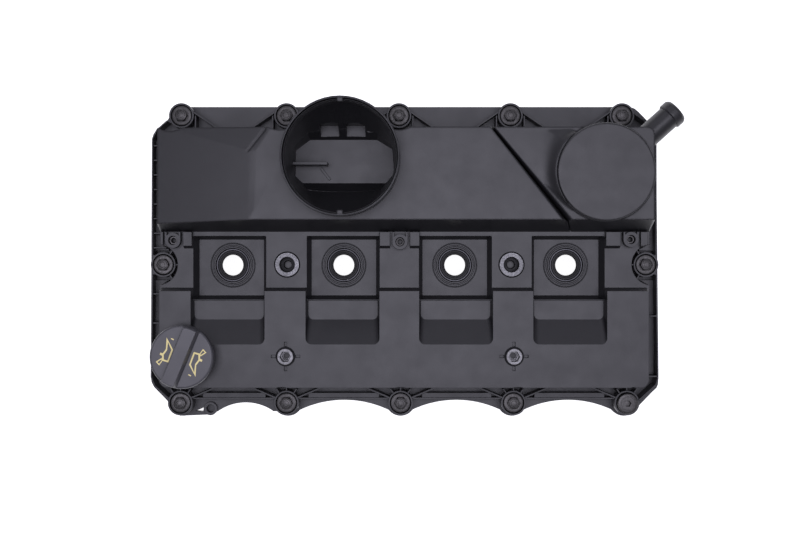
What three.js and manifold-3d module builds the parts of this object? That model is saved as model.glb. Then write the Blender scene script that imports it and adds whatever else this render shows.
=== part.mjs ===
// Moulded camshaft cover for a four-cylinder engine, with intake plenum, oil separator,
// breather nozzle, filler cap, captive bolts and injector seals. Millimetres, +Z up.
import * as THREE from "three";
import { mergeVertices } from "three/addons/utils/BufferGeometryUtils.js";
import Module from "manifold-3d";

const wasm = await Module();
wasm.setup();

// ---- driving dimensions -------------------------------------------------------------
const GAP = 0.3; // clearance between neighbouring pieces
const WALL = 3; // moulded wall
const PITCH = 96; // distance between injectors, the engine's bore pitch
const ROW_X = -0.6; // middle of the injector row
const ROW_Y = 1.2; // injector row along the cover

// heights above the sealing face
const FLANGE_TOP = 8;
const BOSS_TOP = 25;
const PAD_Z = 40;
const BLOCK_Z = 54;
const SHELF_Z = 57;
const LEDGE_Z = 60;
const DECK_Z = 68;
const ROOF_Z = 92;
const COLLAR_Z = 118;
const OVER = 1; // extra length of a cutting body

// body sides at the foot and at the top
const LEFT_FOOT = -207;
const LEFT_TOP = -203.5;
const RIGHT_FOOT = 214.6;
const RIGHT_TOP = 210.3;
const BLOCK_LEFT = -205.3; // top edge of the lower rear part
const BLOCK_RIGHT = 213.4;
const FRONT_FOOT = -105.6;
const FRONT_TOP = -102.6;
const REAR_FOOT = 118;
const REAR_TOP = 116.2;
const PLENUM_FOOT_Y = 29.7; // foot of the sloping wall behind the pockets
const PLENUM_ROOF_Y = 38.7; // top of the same wall
const ROOF_REAR_Y = 115.5;
const PLENUM_LEFT = -204.6;
const ROOF_LEFT_X = -202.2;
const ROOF_RIGHT_X = 210.6;

// captive bolts: ring centres
const TOP_BOLT_Y = 132.6;
const LOW_BOLT_Y = -119.9;
const MID_BOLT_Y = 1.6;
const TOP_BOLTS = [-192, -99.7, -0.9, 97, 195].map((x) => [x, TOP_BOLT_Y]);
const LOW_BOLTS = [-193, -99.8, 0.5, 99.7, 199.4].map((x) => [x, LOW_BOLT_Y]);
const MID_BOLTS = [[-208, MID_BOLT_Y], [216, MID_BOLT_Y]];
const BOLTS = [...TOP_BOLTS, ...MID_BOLTS, ...LOW_BOLTS];
const BOSS_R = 10.9;
const BOSS_BORE_R = 9.4;
const BOSS_HOLE_R = 6;
const SEAT_Z = 6;
const WELL_R = 14.2; // recess round a boss at the flange
const WELL_TOP_R = 18;
const WELL_TOP_Z = 56;
const WELL_WALL = 2.6;
const REAR_WELL_R = 19.6;

const POCKETS = [-1.5, -0.5, 0.5, 1.5].map((n) => ROW_X + n * PITCH);
// the two outer recesses stand a little further out than their holes
const POCKET_SHIFT = new Map([[POCKETS[0], -1.1], [POCKETS[3], 0.5]]);
const INSERTS = [-96.6, 95.4];
const INSERT_Y = 1.6;
const DECK_INSERTS = [-96.7, 96.3];
const DECK_INSERT_Y = -76;
const DECK_SEAT_Z = 71.5;
const CLIPS = [
  { x: -193.2, y: 22.2, from: -203.6, to: -177.3 },
  { x: 0, y: 21, from: -17.2, to: 16.5 },
  { x: 196.4, y: 23, from: 175.5, to: 210.8 },
];
const COLLAR = [-48.6, 89.4];
const COLLAR_R = 48.5;
const FUNNEL_R = 45.3;
const FUNNEL_FLOOR_Z = 35;
// corners of the eight-sided floor: x, y, and the angle where the same corner meets the collar
const FUNNEL_CORNERS = [
  [-12.4, 72.4, -56], [-5, 81, -30], [-6.5, 102, 15], [-20.1, 110.2, 45],
  [-78, 110.2, 135], [-90.5, 101, 165], [-91, 78.5, 205], [-84.4, 72.4, 241],
];
const DISC = [169.7, 77.9];
const DISC_R = 40.3;
const CAP = [-181.5, -75.2];
const CAP_R = 26.5;
const CAP_Z = 88;
const NECK_R = 20.5;
const NECK_BORE_R = 17.8;
const NECK_Z = 78;
const GRIP_ANGLE = THREE.MathUtils.degToRad(67.5);
const NOZZLE_BASE = [203, 104.8];
const NOZZLE_ANGLE = THREE.MathUtils.degToRad(41.9);
const NOZZLE_LENGTH = 40.2;
const NOZZLE_R = 10.15;
const NOZZLE_Z = 70;
const LUG = [-168.4, -126.3];

// ---- materials ----------------------------------------------------------------------
const material = (color, roughness, metalness) =>
  new THREE.MeshStandardMaterial({ color, roughness, metalness });
const nylon = () => material(0x2b2b2f, 0.5, 0);
const capPlastic = () => material(0x333338, 0.45, 0);
const rubber = () => material(0x18181a, 0.85, 0);
const zinc = () => material(0x7c7f84, 0.35, 0.9);
const steel = () => material(0x9a9da2, 0.3, 1);
const blackSteel = () => material(0x35363a, 0.4, 0.8);

// ---- solids from closed surfaces ----------------------------------------------------
const WELD = 1e-4;
function solidFrom(positions, triangles) {
  const geometry = new THREE.BufferGeometry();
  geometry.setAttribute("position", new THREE.Float32BufferAttribute(positions, 3));
  geometry.setIndex(triangles);
  return toSolid(geometry);
}
function toSolid(geometry) {
  const bare = geometry.clone();
  bare.deleteAttribute("normal");
  bare.deleteAttribute("uv");
  const merged = mergeVertices(bare, WELD);
  const p = merged.attributes.position.array;
  const index = merged.index.array;
  const kept = [];
  let volume = 0;
  for (let i = 0; i < index.length; i += 3) {
    const [a, b, c] = [index[i], index[i + 1], index[i + 2]];
    if (a === b || b === c || c === a) continue;
    kept.push(a, b, c);
    const at = (v) => new THREE.Vector3(p[3 * v], p[3 * v + 1], p[3 * v + 2]);
    volume += at(a).dot(at(b).cross(at(c)));
  }
  if (volume < 0) kept.reverse();
  const triVerts = new Uint32Array(kept);
  return new wasm.Manifold(new wasm.Mesh({ numProp: 3, vertProperties: p, triVerts }));
}
const area = (points) =>
  THREE.ShapeUtils.area(points.map(([x, y]) => new THREE.Vector2(x, y)));

// Body through outlines with equal numbers of points, from the lowest layer up.
function stack(layers) {
  const turned = area(layers[0][0]) < 0;
  const outlines = layers.map(([points]) => (turned ? [...points].reverse() : points));
  const n = outlines[0].length;
  const positions = [];
  outlines.forEach((points, k) => {
    points.forEach(([x, y]) => positions.push(x, y, layers[k][1]));
  });
  const triangles = [];
  for (let k = 0; k < outlines.length - 1; k += 1) {
    for (let i = 0; i < n; i += 1) {
      const [a, b] = [k * n + i, k * n + ((i + 1) % n)];
      triangles.push(a, b, n + b, a, n + b, n + a);
    }
  }
  const cap = (outline, shift, up) => {
    const flat = outline.map(([x, y]) => new THREE.Vector2(x, y));
    THREE.ShapeUtils.triangulateShape(flat, []).forEach((t) => {
      const facesUp = area(t.map((v) => outline[v])) > 0;
      const order = facesUp === up ? t : [t[0], t[2], t[1]];
      triangles.push(...order.map((v) => v + shift));
    });
  };
  cap(outlines[0], 0, false);
  cap(outlines.at(-1), (outlines.length - 1) * n, true);
  return solidFrom(positions, triangles);
}
const loft = (low, high, z0, z1) => stack([[low, z0], [high, z1]]);
const prism = (points, z0, z1) => loft(points, points, z0, z1);
const rect = (x0, x1, y0, y1) => [[x0, y0], [x1, y0], [x1, y1], [x0, y1]];
const box = (x0, x1, y0, y1, z0, z1) => prism(rect(x0, x1, y0, y1), z0, z1);

// Rectangle with its corners rounded; radii start at the front left, anticlockwise.
function rounded(x0, x1, y0, y1, radii, steps = 3) {
  const corners = [[x0, y0, 1, 1], [x1, y0, -1, 1], [x1, y1, -1, -1], [x0, y1, 1, -1]];
  const points = [];
  corners.forEach(([x, y, sx, sy], k) => {
    for (let i = 0; i <= steps; i += 1) {
      const angle = Math.PI + (k + i / steps) * (Math.PI / 2);
      const r = radii[k];
      points.push([x + sx * r + r * Math.cos(angle), y + sy * r + r * Math.sin(angle)]);
    }
  });
  return points;
}
function revolve(profile, segments, x = 0, y = 0) {
  const lathe = new THREE.LatheGeometry(
    profile.map(([r, z]) => new THREE.Vector2(r, z)), segments);
  lathe.rotateX(Math.PI / 2);
  lathe.translate(x, y, 0);
  return toSolid(lathe);
}
const cylinder = (r, z0, z1, x, y, segments = 24) =>
  revolve([[0, z0], [r, z0], [r, z1], [0, z1]], segments, x, y);
const ring = (inner, outer, z0, z1, x, y, segments = 24) => revolve(
  [[inner, z0], [outer, z0], [outer, z1], [inner, z1], [inner, z0]], segments, x, y);

// Upright plate between two points of the plan.
function rib(x0, y0, x1, y1, thickness, z0, z1) {
  const length = Math.hypot(x1 - x0, y1 - y0);
  const nx = (-(y1 - y0) / length) * (thickness / 2);
  const ny = ((x1 - x0) / length) * (thickness / 2);
  const plan = [[x0 - nx, y0 - ny], [x1 - nx, y1 - ny], [x1 + nx, y1 + ny], [x0 + nx, y0 + ny]];
  return prism(plan, z0, z1);
}
// Block up to `top` over a floor whose height follows z(x, y).
function above(z, x0, x1, y0, y1, top) {
  const plan = rect(x0, x1, y0, y1);
  const positions = [];
  plan.forEach(([x, y]) => positions.push(x, y, z(x, y)));
  plan.forEach(([x, y]) => positions.push(x, y, top));
  const triangles = [0, 2, 1, 0, 3, 2, 4, 5, 6, 4, 6, 7];
  for (let i = 0; i < 4; i += 1) {
    const j = (i + 1) % 4;
    triangles.push(i, j, 4 + j, i, 4 + j, 4 + i);
  }
  return solidFrom(positions, triangles);
}
const joined = (solids) => solids.reduce((sum, s) => sum.add(s));

// ---- cover body ---------------------------------------------------------------------
const SCALLOP_R = 92;
const SCALLOP_TOP_Y = -118.9;
const LAST_SCALLOP_R = 43; // the smaller one beside the lug
const BOSS_FOOT_R = 13.2;
function flange() {
  const outline = [
    [-221.2, 112.8], [-222.2, -98.5], [-219.3, -107.4], [-209.1, -117.8], [-206.2, -121],
    [-196, -133.1], [-171, -132], [-163.5, -129], [205, -129], [213.5, -123.5],
    [224.7, -111.9], [230, -105.2], [230.5, -98.5], [228.4, 112], [226, 122], [220.2, 130.1],
    [212.2, 138.3], [204.9, 142.2], [-199.5, 142.2], [-206.8, 131], [-216.6, 122.6],
  ];
  let plate = prism(outline, 0, FLANGE_TOP);
  LOW_BOLTS.slice(1, -1).forEach(([x], i) => {
    const middle = (x + LOW_BOLTS[i + 2][0]) / 2;
    plate = plate.subtract(
      cylinder(SCALLOP_R, -OVER, FLANGE_TOP + OVER, middle, SCALLOP_TOP_Y - SCALLOP_R, 60));
  });
  plate = plate.subtract(cylinder(LAST_SCALLOP_R, -OVER, FLANGE_TOP + OVER, -137.5, -164.2, 36));
  plate = plate.add(joined(LOW_BOLTS.map(([x, y]) =>
    cylinder(BOSS_FOOT_R, 0, FLANGE_TOP, x, y, 20))));
  plate = plate.add(cylinder(5.9, 0, FLANGE_TOP + 4, ...LUG, 16));
  plate = plate.subtract(cylinder(3.6, 3, FLANGE_TOP + 5, ...LUG, 16));
  const gusset = [[-182.3, -128.9], [-174.9, -125.6], [-175.4, -129.4]];
  return plate.subtract(prism(gusset, -OVER, FLANGE_TOP + OVER));
}

const LEDGE_REAR_Y = PLENUM_FOOT_Y - GAP;
const FOOT_Z = 4;
const REAR_INSIDE_Y = 109.5; // leaves 3.5 mm of wall behind the rear bolt wells
function bodyOuter() {
  const front = loft(
    rounded(LEFT_FOOT, RIGHT_FOOT, FRONT_FOOT, -9.2, [9, 9, 1, 1]),
    rounded(LEFT_TOP, RIGHT_TOP, FRONT_TOP, -20.7, [7, 7, 1, 1]), FOOT_Z, DECK_Z);
  const rear = loft(
    rect(LEFT_FOOT, RIGHT_FOOT, -50, REAR_FOOT),
    rect(BLOCK_LEFT, BLOCK_RIGHT, -50, REAR_TOP), FOOT_Z, BLOCK_Z);
  const ledges = CLIPS.map(({ from, to }) =>
    loft(rect(from - 0.5, to + 0.5, 14.9, LEDGE_REAR_Y), rect(from, to, 17.6, LEDGE_REAR_Y),
      BLOCK_Z - 2, LEDGE_Z));
  return joined([front, rear, ...ledges]);
}
function bodyHollow() {
  const left = -200.5;
  const right = 207.3;
  const front = FRONT_TOP + WALL;
  const deck = loft(
    rounded(left, right, front, -13, [5, 5, 1, 1]),
    rounded(left, right, front, -23.7, [5, 5, 1, 1]), -OVER, DECK_Z - WALL);
  return deck.add(box(left, right, -60, REAR_INSIDE_Y, -OVER, BLOCK_Z - WALL));
}

// Flared recess round a bolt boss, or the wall that lines it.
const well = ([x, y], grow, z0) => revolve([
  [0, z0], [WELL_R + grow, z0], [WELL_R + grow, FLANGE_TOP + 1],
  [WELL_TOP_R + grow, WELL_TOP_Z], [WELL_TOP_R + grow, DECK_Z + (grow ? 0 : OVER)],
  [0, DECK_Z + (grow ? 0 : OVER)],
], 20, x, y);

const POCKET_HALF = 31.15; // half the width of a recess at the deck
const PAD_HALF = 28;
// Recess over one injector: low pad, shelf in front of it and a ramp up to the deck.
function pocketCut(hole, grow) {
  const x = hole + (POCKET_SHIFT.get(hole) ?? 0);
  const pad = loft(
    rect(x - PAD_HALF - grow, x + PAD_HALF + grow, -25.1 - grow, 23.4 + grow),
    rect(x - POCKET_HALF - grow, x + POCKET_HALF + grow, -28.2 - grow, 26.1 + grow),
    PAD_Z - grow, BLOCK_Z + 0.01);
  const shelf = loft(
    rounded(x - 29.6 - grow, x + 29.6 + grow, -45.2 - grow, -24, [4.5, 4.5, 0.5, 0.5]),
    rounded(x - POCKET_HALF - grow, x + POCKET_HALF + grow, -65.9 - grow, -15, [5, 5, 0.5, 0.5]),
    SHELF_Z - grow, DECK_Z + (grow ? 0 : 0.01));
  const above = box(x - POCKET_HALF - grow, x + POCKET_HALF + grow, -29, -15, BLOCK_Z, DECK_Z + OVER);
  return joined([pad, shelf, above]);
}

const TUBE_FOOT_Z = 12;
const SEAL_SEAT_Z = 33.7;
function injectorTube(x) {
  return revolve([
    [13.6, TUBE_FOOT_Z], [17.5, TUBE_FOOT_Z], [17.5, PAD_Z - 1], [19.3, PAD_Z - 1],
    [19.3, 41.2], [17.1, 40.3], [15.9, 43], [14.5, 43], [14.5, SEAL_SEAT_Z],
    [13.6, SEAL_SEAT_Z], [13.6, TUBE_FOOT_Z],
  ], 20, x, ROW_Y);
}

// Intake bowl: eight-sided floor widening to the round collar.
const BOW = 0.004; // the floor's edges bow out very slightly
function bowlOutline(grow) {
  const low = [];
  const high = [];
  const steps = 4;
  const middle = [-48, 91];
  const half = [43, 19];
  FUNNEL_CORNERS.forEach(([x0, y0, from], k) => {
    const [x1, y1, to] = FUNNEL_CORNERS[(k + 1) % FUNNEL_CORNERS.length];
    const turn = to > from ? to - from : to + 360 - from;
    for (let i = 0; i < steps; i += 1) {
      const t = i / steps;
      const bow = 1 + BOW * t * (1 - t);
      const x = (x0 + (x1 - x0) * t - middle[0]) * bow;
      const y = (y0 + (y1 - y0) * t - middle[1]) * bow;
      low.push([middle[0] + x * (1 + grow / half[0]), middle[1] + y * (1 + grow / half[1])]);
      const a = THREE.MathUtils.degToRad(from + turn * t);
      const r = grow ? COLLAR_R : FUNNEL_R;
      high.push([COLLAR[0] + r * Math.cos(a), COLLAR[1] + r * Math.sin(a)]);
    }
  });
  return [low, high];
}
const FUNNEL_TOP_Z = 96;
function bowlOuter() {
  const [low, high] = bowlOutline(WALL);
  return loft(low, high, FUNNEL_FLOOR_Z - WALL, FUNNEL_TOP_Z)
    .add(prism(high, FUNNEL_TOP_Z - 0.01, COLLAR_Z))
    .add(box(-72, -26, 100, 124.8, 38, 70));
}
function bowlInner() {
  const [low, high] = bowlOutline(0);
  return joined([
    loft(low, high, FUNNEL_FLOOR_Z, FUNNEL_TOP_Z + 2),
    prism(high, FUNNEL_TOP_Z + 1.9, COLLAR_Z + OVER),
    box(-68.4, -52.5, 104, 121.8, 41, 66),
    box(-46, -29.7, 104, 121.8, 41, 66),
  ]);
}
const below = (z) => box(-300, 300, -300, 300, -50, z);

// Loop of the seal groove; `out` moves it outwards.
function sealLoop(out) {
  const reach = 12.5 - out;
  const points = [];
  const arc = (cx, cy, r, from, to, steps) => {
    for (let i = 0; i <= steps; i += 1) {
      const a = THREE.MathUtils.degToRad(from + ((to - from) * i) / steps);
      points.push([cx + r * Math.cos(a), cy + r * Math.sin(a)]);
    }
  };
  const bow = THREE.MathUtils.radToDeg(Math.acos((4 - out) / reach));
  const bowRight = THREE.MathUtils.radToDeg(Math.acos((5 - out) / reach));
  const r = 8 + out;
  arc(-196, -98, r, 180, 270, 5);
  arc(203, -98, r, 270, 360, 5);
  arc(MID_BOLTS[1][0], MID_BOLT_Y, reach, 180 + bowRight, 180 - bowRight, 10);
  arc(203, 111.5, r, 0, 90, 5);
  arc(-196, 111.5, r, 90, 180, 5);
  arc(MID_BOLTS[0][0], MID_BOLT_Y, reach, bow, -bow, 10);
  return points;
}

function bossDetails() {
  const parts = [];
  const ribZ = BOSS_TOP - 1;
  BOLTS.forEach(([x, y]) => parts.push(cylinder(BOSS_R, 0, BOSS_TOP, x, y, 16)));
  TOP_BOLTS.forEach(([x, y], i) => {
    [-1, 1].forEach((side) => {
      const corner = (i === 0 && side < 0) || (i === TOP_BOLTS.length - 1 && side > 0);
      if (corner) return;
      parts.push(rib(x + side * 9.8, y + 3.6, x + side * 39.5, REAR_FOOT - 2, 1.3, FOOT_Z, ribZ));
      parts.push(rib(x + side * 12.2, y, x + side * 12.2, REAR_FOOT - 2, 1.2, FOOT_Z, ribZ));
    });
  });
  LOW_BOLTS.forEach(([x, y], i) => {
    [-1, 1].forEach((side) => {
      const corner = (i === 0 && side < 0) || (i === LOW_BOLTS.length - 1 && side > 0);
      if (corner) return;
      parts.push(rib(x + side * 9.8, y + 4.6, x + side * 35, FRONT_FOOT + 1, 1.4, FOOT_Z, ribZ));
    });
    if (i < LOW_BOLTS.length - 1) {
      const next = LOW_BOLTS[i + 1][0];
      parts.push(box(x + 19, next - 19, -115.6, -111.5, FOOT_Z, 19));
      parts.push(box(x + 9.5, next - 9.5, -117, -115.6, FOOT_Z, 20));
    }
    [54, 90, 126].forEach((degrees) => {
      const a = THREE.MathUtils.degToRad(degrees);
      const [c, s] = [Math.cos(a), Math.sin(a)];
      parts.push(rib(x + 10 * c, y + 10 * s, x + 15.2 * c, y + 15.2 * s, 1.2, FOOT_Z, ribZ));
    });
  });
  MID_BOLTS.forEach(([x, y], k) => {
    [-58, 0, 58].forEach((degrees) => {
      const a = THREE.MathUtils.degToRad(degrees + 180 * k);
      const [c, s] = [Math.cos(a), Math.sin(a)];
      parts.push(rib(x + 10 * c, y + 10 * s, x + 15.2 * c, y + 15.2 * s, 1.2, FOOT_Z, ribZ));
    });
  });
  return parts;
}

// Thin outer walls along both ends, with a raised floor behind them and cross ribs.
const LIP_Z = 28;
const CHANNEL_Z = 14;
function endWalls() {
  const parts = [];
  const path = (points, t) => points.slice(1).forEach(([x, y], i) =>
    parts.push(rib(...points[i], x, y, t, FOOT_Z, LIP_Z)));
  path([[-204, 127.5], [-213.2, 119.6], [-216.8, 112], [-216.8, 10]], 1.1);
  path([[-216.9, -7], [-217.9, -97], [-214.9, -104.6], [-203.5, -115]], 1.1);
  path([[205.5, 134], [214.5, 127.5], [220.8, 118], [224.2, 110], [224.5, 10]], 1.1);
  path([[224.7, -7], [225.9, -98], [224.6, -103.4], [209.5, -117]], 1.1);
  parts.push(box(-217, -205, 14, 112, FOOT_Z, CHANNEL_Z));
  parts.push(box(-217, -205, -98, -12, FOOT_Z, CHANNEL_Z));
  parts.push(box(212, 224.6, 14, 110, FOOT_Z, CHANNEL_Z));
  parts.push(box(212, 225, -98, -12, FOOT_Z, CHANNEL_Z));
  const step = 12.8;
  for (let y = 106; y > 12; y -= step) {
    parts.push(rib(-216.5, y, -205, y, 1.2, FOOT_Z, LIP_Z - 2));
  }
  [-24, -49.6, -88].forEach((y) => parts.push(rib(-217.2, y, -205, y, 1.2, FOOT_Z, LIP_Z - 2)));
  [-43.4, -96.2].forEach((y) => parts.push(rib(225, y, 212, y, 1.2, FOOT_Z, LIP_Z)));
  return parts;
}

function clipSeat({ x, y }) {
  const wallTop = LEDGE_Z + 2;
  const sides = [-1, 1].map((side) =>
    rib(x + side * 5.8, y, x + side * 5.8, LEDGE_REAR_Y, 1.5, BLOCK_Z - 2, wallTop));
  return joined([cylinder(6.6, BLOCK_Z - 8, wallTop, x, y, 16), ...sides]);
}

function coverBase() {
  const outer = bodyOuter();
  let cover = flange().add(outer).subtract(bodyHollow());
  const liners = POCKETS.map((x) => pocketCut(x, WALL));
  const wells = [...LOW_BOLTS, ...MID_BOLTS].map((at) => well(at, WELL_WALL, 0));
  cover = cover.add(joined([...liners, ...wells]).intersect(outer));
  cover = cover.add(joined(MID_BOLTS.map(([x, y]) =>
    cylinder(WELL_R + WELL_WALL, 0, FLANGE_TOP, x, y, 20)))
    .intersect(box(-221, 229, -50, 50, 0, FLANGE_TOP)));
  POCKETS.forEach((x) => {
    cover = cover.subtract(pocketCut(x, 0));
  });
  [...LOW_BOLTS, ...MID_BOLTS].forEach((at) => {
    cover = cover.subtract(well(at, 0, FLANGE_TOP));
  });
  POCKETS.forEach((x) => {
    cover = cover
      .subtract(cylinder(16.5, PAD_Z - WALL - OVER, PAD_Z + OVER, x, ROW_Y, 20))
      .add(injectorTube(x));
  });
  cover = cover.add(bowlOuter().intersect(below(BLOCK_Z)));
  cover = cover.subtract(bowlInner());
  TOP_BOLTS.forEach(([x, y]) => {
    cover = cover.subtract(cylinder(REAR_WELL_R, FLANGE_TOP, BLOCK_Z + OVER, x, y, 20));
  });
  cover = cover.add(joined([...bossDetails(), ...endWalls()]));

  // vane and small ridge on the floor of the intake bowl
  cover = cover.add(box(-92, -62.3, 87.2, 89.6, FUNNEL_FLOOR_Z - 1, BLOCK_Z - GAP));
  cover = cover.add(rib(-68.8, 85.7, -60.9, 75.3, 2, FUNNEL_FLOOR_Z - 1, FUNNEL_FLOOR_Z + 2));

  // seats of the two large inserts between the pockets
  INSERTS.forEach((x) => {
    cover = cover
      .add(cylinder(13.6, 36, BLOCK_Z - 1, x, INSERT_Y, 16))
      .subtract(cylinder(11.1, 40, BLOCK_Z + OVER, x, INSERT_Y, 16));
  });
  // raised screw seats on the deck, each with a hexagonal mouth and four small pits round it
  DECK_INSERTS.forEach((x) => {
    const y = DECK_INSERT_Y;
    cover = cover
      .add(cylinder(7.2, 52, DECK_SEAT_Z, x, y, 16))
      .subtract(cylinder(4.8, 56, 64.2, x, y, 12))
      .subtract(cylinder(4.6, 64, DECK_SEAT_Z + OVER, x, y, 6));
    [[10.4, 0], [-10.4, 0], [0, 10.4], [0, -10.4]].forEach(([dx, dy]) => {
      cover = cover.subtract(cylinder(1.5, DECK_Z - 2.5, DECK_Z + OVER, x + dx, y + dy, 4));
    });
  });
  // clip seats below the plenum
  CLIPS.forEach((clip) => {
    const groove = box(clip.x - 8.6, clip.x + 8.6, 10, 30, BLOCK_Z, LEDGE_Z + OVER);
    cover = cover
      .subtract(groove)
      .add(clipSeat(clip))
      .subtract(cylinder(3.8, 49, LEDGE_Z + 3, clip.x, clip.y, 12));
  });
  // oil filler neck
  cover = cover
    .add(cylinder(NECK_R, 52, NECK_Z, ...CAP, 24))
    .subtract(cylinder(NECK_BORE_R, 50, NECK_Z + OVER, ...CAP, 24));
  // gas inlet of the separator, and posts for its oil baffle below
  cover = cover.subtract(box(150, 192, 48, 58, 48, BLOCK_Z + OVER));
  BAFFLE_POSTS.forEach(([x, y]) => {
    cover = cover
      .add(cylinder(5, BAFFLE_TOP_Z + GAP, BLOCK_Z - 1, x, y, 10))
      .subtract(cylinder(2, BAFFLE_TOP_Z, BAFFLE_TOP_Z + 14, x, y, 8));
  });
  // bolt bores and the seal groove
  BOLTS.forEach(([x, y]) => {
    cover = cover
      .subtract(cylinder(BOSS_BORE_R, SEAT_Z, BOSS_TOP + OVER, x, y, 16))
      .subtract(cylinder(BOSS_HOLE_R, -OVER, SEAT_Z + OVER, x, y, 12));
  });
  const groove = prism(sealLoop(1.6), -OVER, 4).subtract(prism(sealLoop(-1.6), -OVER - 1, 5));
  return cover.subtract(groove);
}

// ---- upper shells -------------------------------------------------------------------
// Middle line of the slanting groove between the two shells.
const grooveX = (y) => 78.4 + (112.9 - y) * 0.8116;
const SHELL_Z = BLOCK_Z + GAP;
const boltClearance = () => joined(TOP_BOLTS.map(([x, y]) =>
  cylinder(REAR_WELL_R, BLOCK_Z, ROOF_Z + OVER, x, y, 20)));
const behindRear = () => box(-250, 250, REAR_INSIDE_Y, 150, BLOCK_Z - 5, ROOF_Z);

const GROOVE_Z = 84; // the groove widens above this height
const EDGE_T = (GROOVE_Z - SHELL_Z) / (ROOF_Z - SHELL_Z);
const between = (a, b, t) => a + (b - a) * t;
const frontY = (t) => between(PLENUM_FOOT_Y, PLENUM_ROOF_Y, t);
const rearY = (t) => between(REAR_TOP, ROOF_REAR_Y, t);

// Hollow or outer body of a shell: `plan` gives its outline at a height from 0 to 1, and `d`
// moves it inwards.
const shellBody = (plan, d) => stack([
  [plan(0, d, 0.6, 0.6), d ? SHELL_Z - OVER : SHELL_Z],
  [plan(EDGE_T, d, 0.6, 0.6), GROOVE_Z - d],
  [plan(1, d, 4.5, 2), ROOF_Z - d],
]);
const plenumPlan = (t, d, front, rear) => {
  const left = between(PLENUM_LEFT, ROOF_LEFT_X, t) + d;
  return [
    [left, frontY(t) + d], [grooveX(frontY(t)) - front - 1.6 * d, frontY(t) + d],
    [grooveX(rearY(t)) - rear - 1.6 * d, rearY(t) - d], [left, rearY(t) - d],
  ];
};
function plenumShell() {
  const solid = shellBody(plenumPlan, 0).subtract(slopeCut(0)).subtract(boltClearance());
  const hollow = shellBody(plenumPlan, WALL).subtract(slopeCut(WALL)).subtract(behindRear());
  const collar = bowlOuter().subtract(below(SHELL_Z));
  const step = cylinder(46.9, 110, COLLAR_Z + OVER, ...COLLAR, 32);
  const tabs = [-1, 1].map((side) => {
    const y = COLLAR[1] + side * 45.4;
    return box(COLLAR[0] - 2.4, COLLAR[0] + 2.4, y - 1.6, y + 1.6, 115, 117.6);
  });
  return solid.subtract(hollow).add(collar).subtract(bowlInner()).subtract(step)
    .add(joined(tabs));
}
// Everything above the falling left part of the roof, lowered by `down`. It has a cranked upper
// edge, and a flatter facet along the rear.
const SLOPE_X = -119;
const SLOPE = 12 / 81;
const FACET_START = [-125.9, 96.1];
const FACET_TURN = 0.283; // how far the facet's lower edge moves back per mm to the left
const FACET_FALL = 0.08; // how far the facet falls per mm behind its edge
function slopeCut(down) {
  const edge = [[-129.7, 20], [-129.5, 41], [-124.5, 51], [-120.7, 60], [-119.3, 75.6],
    [-120.3, 90], FACET_START, [-112, 113.7], [-110, 130]];
  const far = edge.map(([, y]) => [-215, y]).reverse();
  const slope = (x) => ROOF_Z + (x - SLOPE_X) * SLOPE - down;
  const facet = (x, y) => ROOF_Z + (x - SLOPE_X) * SLOPE - down
    - (y - FACET_START[1] + (x - FACET_START[0]) * FACET_TURN) * FACET_FALL;
  return prism([...edge, ...far], ROOF_Z - 40, ROOF_Z + 6).intersect(
    above(slope, -216, SLOPE_X, 10, 140, ROOF_Z + 20)
      .add(above(facet, -216, -100, 10, 140, ROOF_Z + 20)));
}

const BOWL_FLOOR_Z = 78;
const DISC_SEAT_Z = 95.5;
const APRON_R = DISC_R + GAP;
const APRON_Z = 95.4;
const APRON_TOP_Z = 98.2;
// On the left the roof rises from the groove and the rear edge to the regulator's cap.
function apron() {
  const steps = 16;
  const turn = 0.6; // share of the stations that stand along the groove
  const outer = (t) => (t < turn
    ? [between(140.5, 82, t / turn), between(42.2, 113.6, t / turn)]
    : [between(82, 141, (t - turn) / (1 - turn)), 113.6]);
  const positions = [];
  const triangles = [];
  for (let i = 0; i <= steps; i += 1) {
    const a = THREE.MathUtils.degToRad(between(234, 126, i / steps));
    const at = (r, z) => [DISC[0] + r * Math.cos(a), DISC[1] + r * Math.sin(a), z];
    const edge = outer(i / steps);
    positions.push(...edge, ROOF_Z - 1, ...edge, ROOF_Z - 0.02, ...at(APRON_R + 0.6, APRON_Z),
      ...at(APRON_R, APRON_TOP_Z), ...at(APRON_R, ROOF_Z - 1));
    for (let k = 0; k < 5 && i < steps; k += 1) {
      const [p, q] = [5 * i + k, 5 * i + ((k + 1) % 5)];
      triangles.push(p, q, q + 5, p, q + 5, p + 5);
    }
  }
  const last = 5 * steps;
  [[0, 1, 2], [0, 2, 3], [0, 3, 4]].forEach(([p, q, r]) => {
    triangles.push(p, r, q, last + p, last + q, last + r);
  });
  return solidFrom(positions, triangles);
}
const separatorPlan = (t, d, front, rear) => {
  const right = between(213.2, ROOF_RIGHT_X, t) - d;
  const cut = between(8.2, 5.5, t);
  return [
    [grooveX(frontY(t)) + front + 1.6 * d, frontY(t) + d], [right, frontY(t) + d],
    [right, rearY(t) - d - cut], [right - cut, rearY(t) - d],
    [grooveX(rearY(t)) + rear + 1.6 * d, rearY(t) - d],
  ];
};
function separatorShell() {
  const hollow = shellBody(separatorPlan, WALL).subtract(behindRear());
  return shellBody(separatorPlan, 0)
    .subtract(hollow)
    .add(cylinder(APRON_R + 0.3, BOWL_FLOOR_Z, DISC_SEAT_Z, ...DISC, 36))
    .add(apron())
    .subtract(boltClearance().intersect(below(90)))
    .subtract(cylinder(37.5, 92, 96.5, ...DISC, 32))
    .subtract(cylinder(34, BOWL_FLOOR_Z + WALL, 93, ...DISC, 32))
    .add(cylinder(11, BOWL_FLOOR_Z, 86, ...DISC, 16))
    .subtract(cylinder(8.5, BOWL_FLOOR_Z - OVER, 87, ...DISC, 16))
    .subtract(nozzleBody(NOZZLE_R + GAP, NOZZLE_R + GAP, 0));
}

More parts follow.
